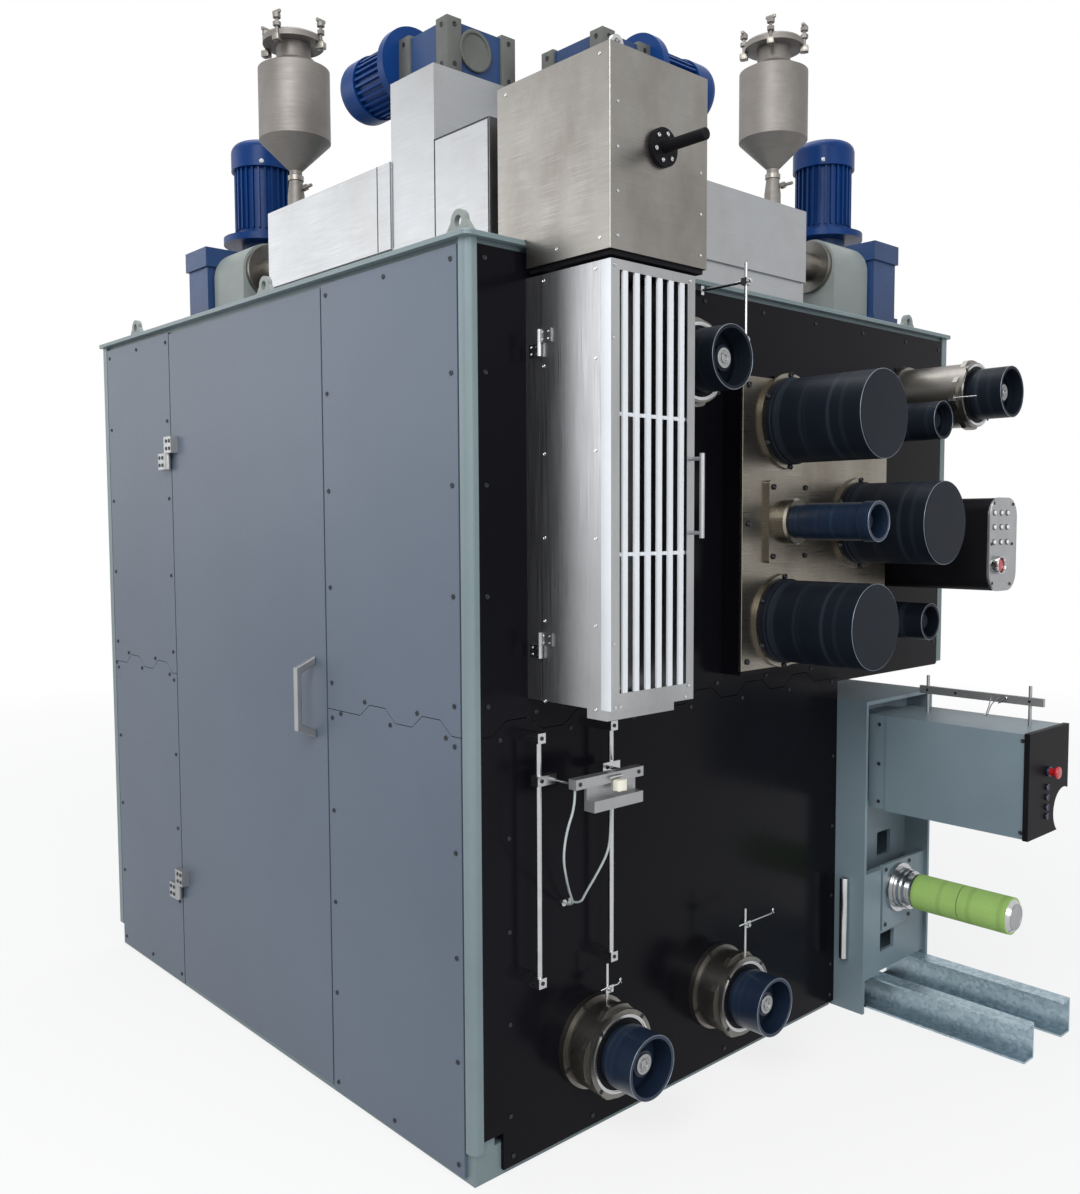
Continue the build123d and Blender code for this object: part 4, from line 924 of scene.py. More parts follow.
def grid_rows(
    xs: Sequence[float], ys: Sequence[float], zs: Sequence[float], facing: Facing = Facing.FRONT
) -> List[Row]:
    """A single fitting at every place of a grid, each a row of one.

    Args:
        xs: Places along the width, in millimetres.
        ys: Places along the depth.
        zs: Heights.
        facing: The way they look out.

    Returns:
        One row for each place.
    """
    return [Row((x, y, z), facing=facing) for x in xs for y in ys for z in zs]


def ring_rows(middle: Triple, radius: float, count: int, first: float) -> List[Row]:
    """Places on a circle that looks to the front, each a row of one.

    Args:
        middle: Middle of the circle, in millimetres.
        radius: Its radius.
        count: How many places.
        first: Angle of the first, in degrees.

    Returns:
        One row for each place.
    """
    x, y, z = middle
    turns = [math.radians(first + 360 * index / count) for index in range(count)]
    return [Row((x + radius * math.cos(turn), y, z + radius * math.sin(turn))) for turn in turns]


# The machine's own parts


@dataclass
class NodePaints:
    """Finishes of the CAD nodes.

    Attributes:
        paintbox: Where the finishes come from.
        nodes: The CAD nodes by name.
        plan: The nodes that each finish goes on.
    """

    paintbox: Paintbox
    nodes: Dict[str, Piece]
    plan: Dict[Paint, Tuple[str, ...]] = field(default_factory=lambda: {
        Paint.FRAME: ("base_frame", "frame_posts", "top_plate", "bay_walls"),
        Paint.CAST: ("lifting_lugs", "coupling_housings"),
        Paint.SIDE: ("left_panels", "right_panels", "back_panels", "side_door"),
        Paint.BLACK_SHEET: ("front_panels", "godet_box"),
        Paint.ALUMINIUM: (
            "frame_hinges", "door_hinges", "door_handle", "quench_handle", "finish_guide", "control_panel",
            "head_guide",
        ),
        Paint.PLATE: ("godet_plate",),
        Paint.ROLL: (
            "upper_godet", "middle_godet", "lower_godet", "upper_left_roll", "upper_right_roll",
            "small_upper_roll", "small_lower_roll",
        ),
        Paint.ROLL_BLUE: ("separator_roll", "lower_left_roll", "lower_middle_roll"),
        Paint.HOUSING: ("roll_housings", "feed_throats"),
        Paint.QUENCH: ("quench_frame", "quench_door"),
        Paint.SLAT: ("quench_slats",),
        Paint.SPIN_BOX: ("spin_box",),
        Paint.BLACK: ("spin_rod", "control_box", "head_cover"),
        Paint.BRIGHT: ("quench_hinges", "spin_eye", "finish_stand", "yarn_guides", "spindle_rings", "chuck"),
        Paint.COVER: ("extruder_covers", "pump_boxes", "link_boxes"),
        Paint.HOPPER: ("hoppers", "hopper_lids"),
        Paint.BLUE_CASE: ("extruder_gearboxes", "pump_gearboxes"),
        Paint.BLUE: ("extruder_motors", "pump_motors"),
        Paint.HOSE: ("hose_left", "hose_right"),
        Paint.WINDER: ("winder_frame", "winding_head"),
        Paint.ZINC: ("floor_rails",),
        Paint.PAPER: ("winding_tubes",),
    })

    def build(self) -> None:
        """Dress every CAD node."""
        paints = {name: paint for paint, names in self.plan.items() for name in names}
        for name, node in self.nodes.items():
            self.paintbox.coat(node, paints.get(name, Paint.FRAME))
            LOG.info("%s dressed", name)


@dataclass
class CabinetScrews:
    """Screws round the cabinet's panels, with all places in millimetres.

    Attributes:
        bench: The modelling steps.
        inset: From a panel's edge to its screws.
        upper: Height of the first screw over the seam.
        lower: Height of the first screw under the seam.
        top: Height of the screws along the top.
        pitch: Height from one screw to the next, over the seam.
        lower_pitch: Height from one screw to the next, under the seam.
        seam_pitch: From one screw to the next along the seam.
        left_panels: Range along y of the left wall's fixed panels.
        back_panels: Range along x of the back wall's panels.
    """

    bench: Bench
    inset: float = 22.0
    upper: float = 1134.0
    lower: float = 40.0
    top: float = 2150.0
    pitch: float = 253.0
    lower_pitch: float = 250.0
    seam_pitch: float = 227.0
    left_panels: Tuple[Tuple[float, float], ...] = ((36, 609), (1552, 2066))
    back_panels: Tuple[Tuple[float, float], ...] = ((36, 706), (712, 1418), (1424, 2100))

    def edges(self, *panels: Tuple[float, float]) -> List[float]:
        """Places of the two lines of screws on each panel."""
        return [place for low, high in panels for place in (low + self.inset, high - self.inset)]

    def over(self, x: float, y: float, facing: Facing) -> Row:
        """The screws up a panel's edge over the seam."""
        return Row((x, y, self.upper), (0, 0, self.pitch), 5, facing)

    def under(self, x: float, y: float, facing: Facing) -> Row:
        """The screws up a panel's edge under the seam."""
        return Row((x, y, self.lower), (0, 0, self.lower_pitch), 5, facing)

    def left(self) -> List[Row]:
        """The screws of the left wall."""
        rows: List[Row] = []
        for y in self.edges(*self.left_panels):
            rows += [self.over(0, y, Facing.LEFT), self.under(0, y, Facing.LEFT)]
        rows += grid_rows((0,), (322, 1809), (self.top, self.lower), Facing.LEFT)
        for start, _ in self.left_panels:
            rows.append(Row((0, start + 55, 1056), (0, self.seam_pitch, 0), 3, Facing.LEFT))
            rows.append(Row((0, start + 168, 1100), (0, self.seam_pitch, 0), 2, Facing.LEFT))
        return rows

    def front(self) -> List[Row]:
        """The screws of the front wall."""
        rows = [self.over(x, 0, Facing.FRONT) for x in self.edges((30, 2100))]
        rows += [Row((x, 0, 140), (0, 0, 225), 4) for x in (112, 1462)]
        rows.append(Row((120, 0, self.lower), (268, 0, 0), 6))
        rows.append(Row((560, 0, self.top), (260, 0, 0), 6))
        rows.append(Row((87, 0, 1052), (self.seam_pitch, 0, 0), 7))
        rows.append(Row((200, 0, 1106), (self.seam_pitch, 0, 0), 6))
        return rows

    def rear(self) -> List[Row]:
        """The screws of the back wall and the right one."""
        rows: List[Row] = []
        for x in self.edges(*self.back_panels):
            rows += [self.over(x, CABINET_DEPTH, Facing.BACK), self.under(x, CABINET_DEPTH, Facing.BACK)]
        rows += [self.over(CABINET_WIDTH, y, Facing.RIGHT) for y in self.edges((36, 2066))]
        rows += [self.under(CABINET_WIDTH, y, Facing.RIGHT) for y in self.edges((626, 2066))]
        return rows

    def build(self) -> None:
        """Set the screws of all four walls."""
        screws = Screws(self.bench, 6.0, 2.6)
        screws.set_rows("left_panel_screws", self.left())
        screws.set_rows("front_panel_screws", self.front())
        screws.set_rows("rear_panel_screws", self.rear())


@dataclass
class Hinges:
    """Screws in the block hinges of the side door and the leaves of the quench hood.

    Attributes:
        bench: The modelling steps.
        heights: Middle of each door hinge, in millimetres.
        hood_heights: Middle of each hood hinge, in millimetres.
    """

    bench: Bench
    heights: Tuple[float, ...] = (361.0, 1786.0)
    hood_heights: Tuple[float, ...] = (1271.0, 1964.0)

    def leaf(self, place: Triple, half: Tuple[float, float], heights: Sequence[float]) -> List[Row]:
        """Rows of two screws over and under the middle of one leaf of each hinge.

        Args:
            place: x and y of the leaf's middle, and its height over the hinge's middle.
            half: Half the distance between the screws, along y and upwards.
            heights: Middle of each hinge, all in millimetres.

        Returns:
            The rows.
        """
        x, y, rise = place
        across, up = half
        return [
            Row((x, y - across, height + rise + step), (0, 2 * across, 0), 2, Facing.LEFT)
            for height in heights for step in (-up, up)
        ]

    def build(self) -> None:
        """Set four screws in each leaf."""
        screws = Screws(self.bench, 6.5, 1.6)
        for name, body, y, rise in (
            ("door_hinge_screws", "door", 1522, 26), ("frame_hinge_screws", "machine", 1576, -26)
        ):
            screws.set_rows(name, self.leaf((-24, y, rise), (11, 12), self.heights), body)
        screws = Screws(self.bench, 2.6, 1.2)
        for name, body, y, rise in (
            ("hood_hinge_screws", "quench_hood", -71, 15), ("fixed_hinge_screws", "machine", -33, -15)
        ):
            screws.set_rows(name, self.leaf((170, y, rise), (10, 8), self.hood_heights), body, Paint.BRIGHT)


@dataclass
class DoorSeals:
    """Rubber seals on the posts behind the upright seams of the side door.

    Attributes:
        bench: The modelling steps.
        low: Their lower end.
        high: Their upper end.
        strips: Range along y of each seal, all in millimetres.
    """

    bench: Bench
    low: float = 60.0
    high: float = 2130.0
    strips: Tuple[Tuple[float, float], ...] = ((1537.0, 1552.5), (608.5, 624.0))

    def build(self) -> None:
        """Make both seals."""
        made = [
            self.bench.slab("seal", (5, start, self.low), (13, end, self.high), 1.5)
            for start, end in self.strips
        ]
        self.bench.finish(self.bench.join(made, "door_seals"), "machine", Paint.BLACK, "box_black")


@dataclass
class QuenchTrim:
    """Screws, edge strip, liner and top seal of the quench box, with all places in millimetres.

    Attributes:
        bench: The modelling steps.
        heights: Heights of the side screws.
        corners: x and z of the screws in the front.
        low: Underside of the hood.
        high: Top of the hood.
        left: Place of the hood's left face along x.
        front: Place of its front along y.
        seal: Low and high x, then low and high y, of each strip of the seal.
        seal_low: Underside of the seal.
        seal_high: Top of the seal.
    """

    bench: Bench
    heights: Tuple[float, ...] = (1141, 1328, 1520, 1712, 1911, 2102)
    corners: Tuple[Tuple[float, float], ...] = (
        (186, 1150), (202, 1150), (421, 1149), (432, 1175), (186, 2104), (432, 2104), (182, 1291),
        (182, 1950),
    )
    low: float = 1141.0
    high: float = 2117.0
    left: float = 174.0
    front: float = -275.0
    seal: Tuple[Tuple[float, float, float, float], ...] = (
        (168, 472, -279, -251), (168, 196, -251, -20), (444, 472, -251, -20),
    )
    seal_low: float = 2123.0
    seal_high: float = 2134.0

    def build(self) -> None:
        """Make the trim and the seal."""
        bench = self.bench
        rows = grid_rows((self.left,), (-62, -228), self.heights, Facing.LEFT)
        rows += [Row((x, self.front, z)) for x, z in self.corners]
        Screws(bench, 4.2, 1.8).set_rows("hood_screws", rows, "quench_hood", Paint.BRIGHT, "stainless")
        low_end = (self.left - 1.4, self.front, self.low + 1)
        strip = bench.slab("hood_edge_strip", low_end, (self.left, self.front + 30, self.high - 1), 0.5)
        bench.finish(strip, "quench_hood", Paint.SLAT, "stainless")
        liner = bench.slab("hood_liner", (178, -60, self.low + 6), (179, -258, self.high - 4))
        bench.finish(liner, "quench_hood", Paint.HOUSING, "stainless")
        made = [
            bench.slab("seal_strip", (low_x, low_y, self.seal_low), (high_x, high_y, self.seal_high), 1.0)
            for low_x, high_x, low_y, high_y in self.seal
        ]
        bench.finish(bench.join(made, "spin_box_seal"), "machine", Paint.BLACK, "box_black")


@dataclass
class SpinBoxTrim:
    """Rivets of the spin box, and the bolts of its measuring rod.

    Attributes:
        bench: The modelling steps.
        front: Place of the box's front along y.
        left: Place of its left face along x.
        heights: Heights of the rivets in the front.
        flange: Middle of the rod's flange, all in millimetres.
    """

    bench: Bench
    front: float = -285.0
    left: float = 160.0
    heights: Tuple[float, ...] = (2163, 2255, 2347, 2440)
    flange: Triple = (320, -297, 2372)

    def build(self) -> None:
        """Set the rivets and the bolts."""
        rows = grid_rows((184, 456), (self.front,), self.heights)
        rows += grid_rows((self.left,), (-255, 50), (2540,), Facing.LEFT)
        rows += grid_rows((self.left,), (-255, -120), (2160,), Facing.LEFT)
        rivets = Screws(self.bench, 3.6, 1.2)
        rivets.set_rows("spin_box_rivets", rows, paint=Paint.BRIGHT, slot="stainless")
        bolts = Screws(self.bench, 5.0, 3.5)
        bolts.set_rows("rod_flange_bolts", ring_rows(self.flange, 30, 6, 15), paint=Paint.BRIGHT)


@dataclass
class RollTrim:
    """Hub washers, housing rings and bolts of the rolls, and the bolts of the godet plate.

    Attributes:
        bench: The modelling steps.
        housings: Roll name, x, z and front of each bearing housing.
        hubs: Roll name, x, z, hub face and mouth along y, and mouth radius of each open roll.
        godets: Roll name, x, z, radius and end along y of each large roll, all in millimetres.
        seal: The ring on a housing's front.
        groove: The dark groove inside it.
        front_circle: Radius of the circle of bolts on a housing's front.
        flange_circle: Radius of the circle of bolts on its flange.
        flange: Front of the flange along y.
        washer_radius: Radius of a hub washer.
        godet_bolts: Place along y of the bolts round a godet.
    """

    bench: Bench
    housings: Tuple[Tuple[str, float, float, float], ...] = (
        ("lower_left_roll", 388, 240, -104),
        ("lower_middle_roll", 882, 240, -104),
        ("upper_left_roll", 635, 1957, -138),
        ("upper_right_roll", 1868, 1955, -248),
    )
    hubs: Tuple[Tuple[str, float, float, float, float, float], ...] = (
        ("lower_left_roll", 388, 240, -175, -205, 79),
        ("lower_middle_roll", 882, 240, -175, -205, 79),
        ("upper_left_roll", 635, 1957, -210, -240, 79),
        ("upper_right_roll", 1868, 1955, -331, -361, 79),
        ("small_upper_roll", 1706, 1868, -202, -222, 59),
        ("small_lower_roll", 1706, 1238, -171, -191, 58),
        ("separator_roll", 1090, 1555, -342, -372, 54.5),
    )
    godets: Tuple[Tuple[str, float, float, float, float], ...] = (
        ("upper_godet", 1096, 1838, 122, -382),
        ("middle_godet", 1464, 1550, 125, -363),
        ("lower_godet", 1076, 1274, 120, -378),
    )
    seal: Turned = Turned(97.0, 3.0, 96, rim=5.0, depth=2.0)
    groove: Turned = Turned(89.0, 1.2, 96)
    front_circle: float = 103.0
    flange_circle: float = 113.5
    flange: float = -16.0
    washer_radius: float = 25.0
    godet_bolts: float = -85.0

    def washer(self, name: str, spot: Triple, radius: float) -> None:
        """A hub washer with a socket screw standing in its recess.

        Args:
            name: Roll that carries it.
            spot: Middle of the hub's face.
            radius: Radius of the washer, in millimetres.
        """
        bench = self.bench
        thick, recess, head, hole = 4.0, 1.6, 4.5, 3.5
        floor = mm(thick - recess)
        piece = bench.round_stock(name + "_washer", radius, thick, 40)
        bench.socket(piece, radius * 0.3, recess)
        bench.select_faces(piece, lambda face: face.normal.z > 0.9 and abs(face.center.z - floor) < 1e-5)
        bpy.ops.mesh.inset(thickness=mm(radius * 0.18), depth=0.0)
        bench.raise_faces(head)
        bpy.ops.mesh.inset(thickness=mm(radius * 0.16), depth=0.0)
        bpy.ops.mesh.inset(thickness=mm(0.3), depth=-mm(hole))
        bpy.ops.object.mode_set(mode="OBJECT")
        bench.ease(piece, 0.5, 1)
        bench.stand(piece, at(*spot), Facing.FRONT)
        bench.finish(piece, name + "_body", Paint.ALUMINIUM, "bright_steel")

    def mouth(self, name: str, spot: Triple, radius: float) -> None:
        """The bare worn edge round a roll's end.

        Args:
            name: Roll that carries it.
            spot: Middle of the roll's end.
            radius: Radius of the edge, in millimetres.
        """
        self.bench.clear()
        bpy.ops.mesh.primitive_torus_add(
            major_radius=mm(radius), minor_radius=mm(0.9), major_segments=96, minor_segments=8
        )
        piece = self.bench.settle(name + "_edge")
        self.bench.stand(piece, at(*spot), Facing.FRONT)
        self.bench.finish(piece, name + "_body", Paint.WORN, "roll_coating")

    def housing(self, name: str, x: float, z: float, face: float) -> None:
        """Seal ring and groove on the front of a bearing housing.

        Args:
            name: Roll that runs in it.
            x: Its middle.
            z: Its height.
            face: Its front, all in millimetres.
        """
        outer = self.seal.stand(self.bench, name + "_seal", (x, face + 0.5, z))
        self.bench.finish(outer, "machine", Paint.BRIGHT, "housing_steel")
        inner = self.groove.stand(self.bench, name + "_groove", (x, face + 0.4, z))
        self.bench.finish(inner, "machine", Paint.BLACK, "box_black")

    def build(self) -> None:
        """Make all the trim of the rolls."""
        rows: List[Row] = []
        for name, x, z, face in self.housings:
            self.housing(name, x, z, face)
            rows += ring_rows((x, face, z), self.front_circle, 4, 45)
            rows += ring_rows((x, self.flange, z), self.flange_circle, 4, 22)
        Screws(self.bench, 5.5, 2.0).set_rows("housing_bolts", rows)
        for name, x, z, hub, end, radius in self.hubs:
            self.mouth(name, (x, end, z), radius - 0.6)
            if radius > 70:
                self.washer(name, (x, hub, z), self.washer_radius)
        rows = grid_rows((918, 1604), (-75,), (1168, 1550, 1928))
        rows += grid_rows((1014, 1166), (-89,), (1458, 1652))
        for name, x, z, radius, end in self.godets:
            self.mouth(name, (x, end + 2.2, z), radius - 5.0)
            rows += ring_rows((x, self.godet_bolts, z), radius + 6, 6, 30)
        Screws(self.bench, 8.0, 6.0).set_rows("godet_plate_bolts", rows)


@dataclass
class TrainTrim:
    """Small fittings of the extruders, hoppers and pump drives, with all sizes in millimetres.

    Attributes:
        bench: The modelling steps.
        hoppers: Name, x, y and deck height of each hopper.
        bolt_circle: Radius of the circle that a lid's swing bolts stand on.
        bolt: Name, size, eased edge, height over the deck and skew in degrees of a swing bolt's two parts.
        ring: The spout's clamp ring.
        lever: Its lever.
        nut: The nut on the lever's end.
        blocks: x and y of the low corner of each block on the pump gearboxes.
        block_side: Width and depth of a block.
        block_range: Heights of its underside and top.
        port: The port on the first pump gearbox.
        seams: Low and high corner of each dark line on the covers.
        cap: The pale screw cap on a motor's cowl.
        caps: Name and place of each cap.
    """

    bench: Bench
    hoppers: Tuple[Tuple[str, float, float, float], ...] = (
        ("left_hopper", 240, 1139, 2200), ("right_hopper", 1451, 243, 2245),
    )
    bolt_circle: float = 94.5
    bolt: Tuple[Tuple[str, Triple, float, float, float], ...] = (
        ("wing", (34, 9, 11), 3.0, 868, 70), ("ear", (26, 22, 20), 2.5, 790, 0),
    )
    ring: Turned = Turned(24.0, 14.0, 40)
    lever: Turned = Turned(5.0, 52.0, 16)
    nut: Turned = Turned(11.0, 12.0, 6)
    blocks: Tuple[Tuple[float, float], ...] = (
        (208, 331), (388, 331), (208, 494), (388, 494), (548, 119), (685, 119), (548, 306), (685, 306),
    )
    block_side: float = 46.0
    block_range: Tuple[float, float] = (2697.0, 2830.6)
    port: Turned = Turned(52.0, 9.0, 64, edge=2.0, rim=9.0, depth=5.0)
    seams: Tuple[Tuple[Triple, Triple], ...] = (
        ((155.4, 572, 2277), (156, 575, 2500)),
        ((791, 158.4, 2322), (794, 159, 2545)),
        ((159.2, 112, 2205), (160, 116, 2510)),
        ((159.2, 116, 2506), (160, 325, 2510)),
        ((159.2, 323, 2205), (160, 326, 2510)),
        ((155.4, 511, 2277), (156, 513.5, 2500)),
    )
    cap: Turned = Turned(7.0, 9.0, 24, edge=1.5)
    caps: Tuple[Tuple[str, Triple], ...] = (
        ("left_motor_cap", (308.3, 1484.0, 2766.0)), ("right_motor_cap", (1833.3, 314.0, 2812.0)),
    )

    def hopper_fittings(self, name: str, x: float, y: float, deck: float) -> None:
        """Wing heads and ears of the lid's swing bolts, the spout's clamp ring and its lever.

        Args:
            name: Which hopper.
            x: Its middle.
            y: Its place along the depth.
            deck: Height that its train stands on, all in millimetres.
        """
        bench = self.bench
        made: List[Piece] = []
        for index in range(4):
            turn = math.radians(30 + 90 * index)
            foot = (x + self.bolt_circle * math.cos(turn), y + self.bolt_circle * math.sin(turn))
            for part, size, edge, height, skew in self.bolt:
                piece = bench.block(f"{name}_{part}", size, edge)
                aim = Matrix.Rotation(turn + math.radians(skew), 4, "Z")
                bench.place(piece, Matrix.Translation(at(*foot, deck + height)) @ aim)
                made.append(piece)
        made.append(self.ring.stand(bench, name + "_ring", (x, y, deck + 408), Facing.UP))
        made.append(self.lever.stand(bench, name + "_lever", (x + 14, y - 14, deck + 385)))
        made.append(self.nut.stand(bench, name + "_nut", (x + 14, y - 24, deck + 385)))
        bench.finish(bench.join(made, name + "_clamps"), "machine", Paint.CAST_METAL, "housing_steel")

    def gearbox_fittings(self) -> None:
        """The corner blocks of the pump gearboxes with their bolts, and the port."""
        bench = self.bench
        low, high = self.block_range
        proud = 0.6
        end = self.block_side + proud
        made: List[Piece] = []
        rows: List[Row] = []
        for x, y in self.blocks:
            corners = (x - proud, y - proud, low), (x + end, y + end, high)
            made.append(bench.slab("gearbox_block", *corners, 2.0))
            for z in (2715, 2812):
                rows.append(Row((x + self.block_side / 2, y - proud, z)))
                rows.append(Row((x - proud, y + self.block_side / 2, z), facing=Facing.LEFT))
        bench.finish(bench.join(made, "gearbox_blocks"), "machine", Paint.CASE_GREY, "cast_grey")
        Screws(bench, 6.5, 1.4).set_rows("gearbox_block_bolts", rows)
        port = self.port.stand(bench, "gearbox_port", (300, 338, 2764))
        bench.finish(port, "machine", Paint.CASE_GREY, "cast_grey")

    def build(self) -> None:
        """Make all the fittings."""
        for name, x, y, deck in self.hoppers:
            self.hopper_fittings(name, x, y, deck)
        self.gearbox_fittings()
        lines = [self.bench.slab("cover_seam", low, high) for low, high in self.seams]
        self.bench.finish(self.bench.join(lines, "cover_seams"), "machine", Paint.SCREW, "box_black")
        for name, spot in self.caps:
            self.bench.finish(self.cap.stand(self.bench, name, spot), "machine", Paint.WHITE, "drive_blue")


@dataclass
class ControlPlate:
    """Face plate of the control box with its buttons, stop knob and screws, in millimetres.

    Attributes:
        bench: The modelling steps.
        face: Front of the plate along y.
        middle: Middle of the plate, x and z.
        size: Width, height and thickness of the plate.
        corner: Radius of its corners.
        columns: Places of the buttons along x.
        rows: Heights of the buttons.
        button: A button.
        rim: The dark ring round a button.
        knob_spot: Middle of the stop knob, x and z.
        guard: The bright ring round the stop knob.
        knob: The stop knob.
        screws: x and z of the plate's screws.
    """

    bench: Bench
    face: float = -366.0
    middle: Tuple[float, float] = (1822.5, 1482.5)
    size: Triple = (177.0, 289.0, 10.0)
    corner: float = 60.0
    columns: Tuple[float, ...] = (1757.0, 1803.0, 1843.0)
    rows: Tuple[float, ...] = (1580.0, 1536.0, 1490.0)
    button: Turned = Turned(6.0, 6.0, 32, edge=1.5)
    rim: Turned = Turned(9.0, 2.6, 32, edge=0.8)
    knob_spot: Tuple[float, float] = (1764.0, 1420.0)
    guard: Turned = Turned(27.5, 25.0, 64, edge=1.2, rim=3.5, depth=19.0)
    knob: Turned = Turned(19.5, 20.0, 48, edge=4.0, steps=4)
    screws: Tuple[Tuple[float, float], ...] = (
        (1755, 1609), (1883, 1607), (1870, 1358), (1752, 1364), (1742, 1484), (1879, 1483),
    )

    def build(self) -> None:
        """Make the plate and all that stands on it."""
        bench = self.bench
        plate = bench.rounded_plate("control_face_plate", self.size, self.corner)
        bench.ease(plate, 1.0)
        bench.stand(plate, at(self.middle[0], self.face + self.size[2], self.middle[1]), Facing.FRONT)
        bench.finish(plate, "machine", Paint.ALUMINIUM, "aluminium")
        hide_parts("control_panel")
        spots = [(x, self.face, z) for z in self.rows for x in self.columns]
        made = [self.button.stand(bench, "button", spot) for spot in spots]
        bench.finish(bench.join(made, "control_buttons"), "machine", Paint.WHITE, "aluminium")
        made = [self.rim.stand(bench, "button_rim", spot) for spot in spots]
        bench.finish(bench.join(made, "control_button_rims"), "machine", Paint.CASE_GREY, "box_black")
        spot = (self.knob_spot[0], self.face, self.knob_spot[1])
        guard = self.guard.stand(bench, "stop_knob_guard", spot)
        bench.finish(guard, "machine", Paint.BRIGHT, "aluminium")
        knob = self.knob.stand(bench, "stop_knob", spot)
        bench.finish(knob, "machine", Paint.RED, "aluminium")
        rows = [Row((x, self.face, z)) for x, z in self.screws]
        Screws(bench, 5.0, 2.0).set_rows("control_plate_screws", rows)


@dataclass
class WinderTrim:
    """Stop button, buttons, screws, thread guide and chuck cap of the winder, in millimetres.

    Attributes:
        bench: The modelling steps.
        cover: Front of the head's end cover along y.
        stop: x and z of the stop button.
        collar: The collar under the stop button.
        stem: The stop button before its head is drawn out.
        button: One of the dark buttons under it.
        button_x: Place of the buttons along x.
        button_heights: Their heights.
        guide: Control points of the bent wire on the guide bar.
        cap: The cap on the chuck's end.
        sleeve: The bright cylinder beside the frame.
    """

    bench: Bench
    cover: float = -582.0
    stop: Tuple[float, float] = (1672.0, 829.0)
    collar: Turned = Turned(15.0, 9.0, 40, edge=1.5)
    stem: Turned = Turned(11.0, 20.0, 40)
    button: Turned = Turned(9.5, 6.0, 32, edge=0.8, rim=2.5, depth=1.5)
    button_x: float = 1669.0
    button_heights: Tuple[float, ...] = (783, 753, 724, 697)
    guide: Tuple[Triple, ...] = (
        (1692, -400, 1022), (1690, -396, 1000), (1688, -388, 972), (1684, -384, 966), (1684, -394, 968),
        (1686, -402, 1000), (1687, -415, 1014), (1688, -435, 1030), (1689, -452, 1028), (1688, -446, 1016),
        (1687, -424, 1008),
    )
    cap: Turned = Turned(40.0, 3.0, 64, edge=0.6, rim=6.0, depth=1.2)
    sleeve: Turned = Turned(13.7, 258.0, 40, edge=1.5)

    def stop_button(self) -> None:
        """The stop button with its wide head, on its collar."""
        bench = self.bench
        x, z = self.stop
        collar = self.collar.stand(bench, "winder_stop_collar", (x, self.cover, z))
        bench.finish(collar, "winder_head", Paint.NAVY, "box_black")
        button = bench.round_stock("winder_stop_button", self.stem.radius, self.stem.length, self.stem.sides)
        bench.select_faces(button, bench.top(button))
        bench.raise_faces(1)
        bpy.ops.transform.resize(value=(1.6, 1.6, 1.0))
        bench.raise_faces(10)
        bpy.ops.object.mode_set(mode="OBJECT")
        bench.ease(button, 3.0, 3)
        bench.stand(button, at(x, self.cover - 4, z), Facing.FRONT)
        bench.finish(button, "winder_head", Paint.RED, "box_black")

    def build(self) -> None:
        """Make all the fittings."""
        bench = self.bench
        self.stop_button()
        spots = [(self.button_x, self.cover, z) for z in self.button_heights]
        made = [self.button.stand(bench, "winder_button", spot) for spot in spots]
        bench.finish(bench.join(made, "winder_buttons"), "winder_head", Paint.NAVY, "box_black")
        rows = grid_rows((1559,), (-106,), (917, 792, 672), Facing.LEFT)
        rows += grid_rows((1556,), (-560,), (930, 665), Facing.LEFT)
        Screws(bench, 6.0, 2.6).set_rows("head_screws", rows, "winder_head")
        rows = grid_rows((1694,), (-191, -285, -515), (1022,), Facing.LEFT)
        Screws(bench, 4.5, 1.6).set_rows("guide_bar_screws", rows, "winder_head")
        bench.finish(bench.wire("wire_guide", self.guide), "winder_head", Paint.BRIGHT, "bright_steel")
        rows = grid_rows((1612, 1756), (-105,), (260, 440)) + grid_rows((1500, 1872), (-105,), (28,))
        Screws(bench, 7.0, 3.0).set_rows("bearing_plate_screws", rows)
        cap = self.cap.stand(bench, "chuck_cap", (1684, -494.5, 370))
        bench.finish(cap, "winding_spindle", Paint.ALUMINIUM, "bright_steel")
        sleeve = self.sleeve.stand(bench, "bright_sleeve", (1468, -44, 172), Facing.UP)
        bench.finish(sleeve, "machine", Paint.BRIGHT, "bright_steel")


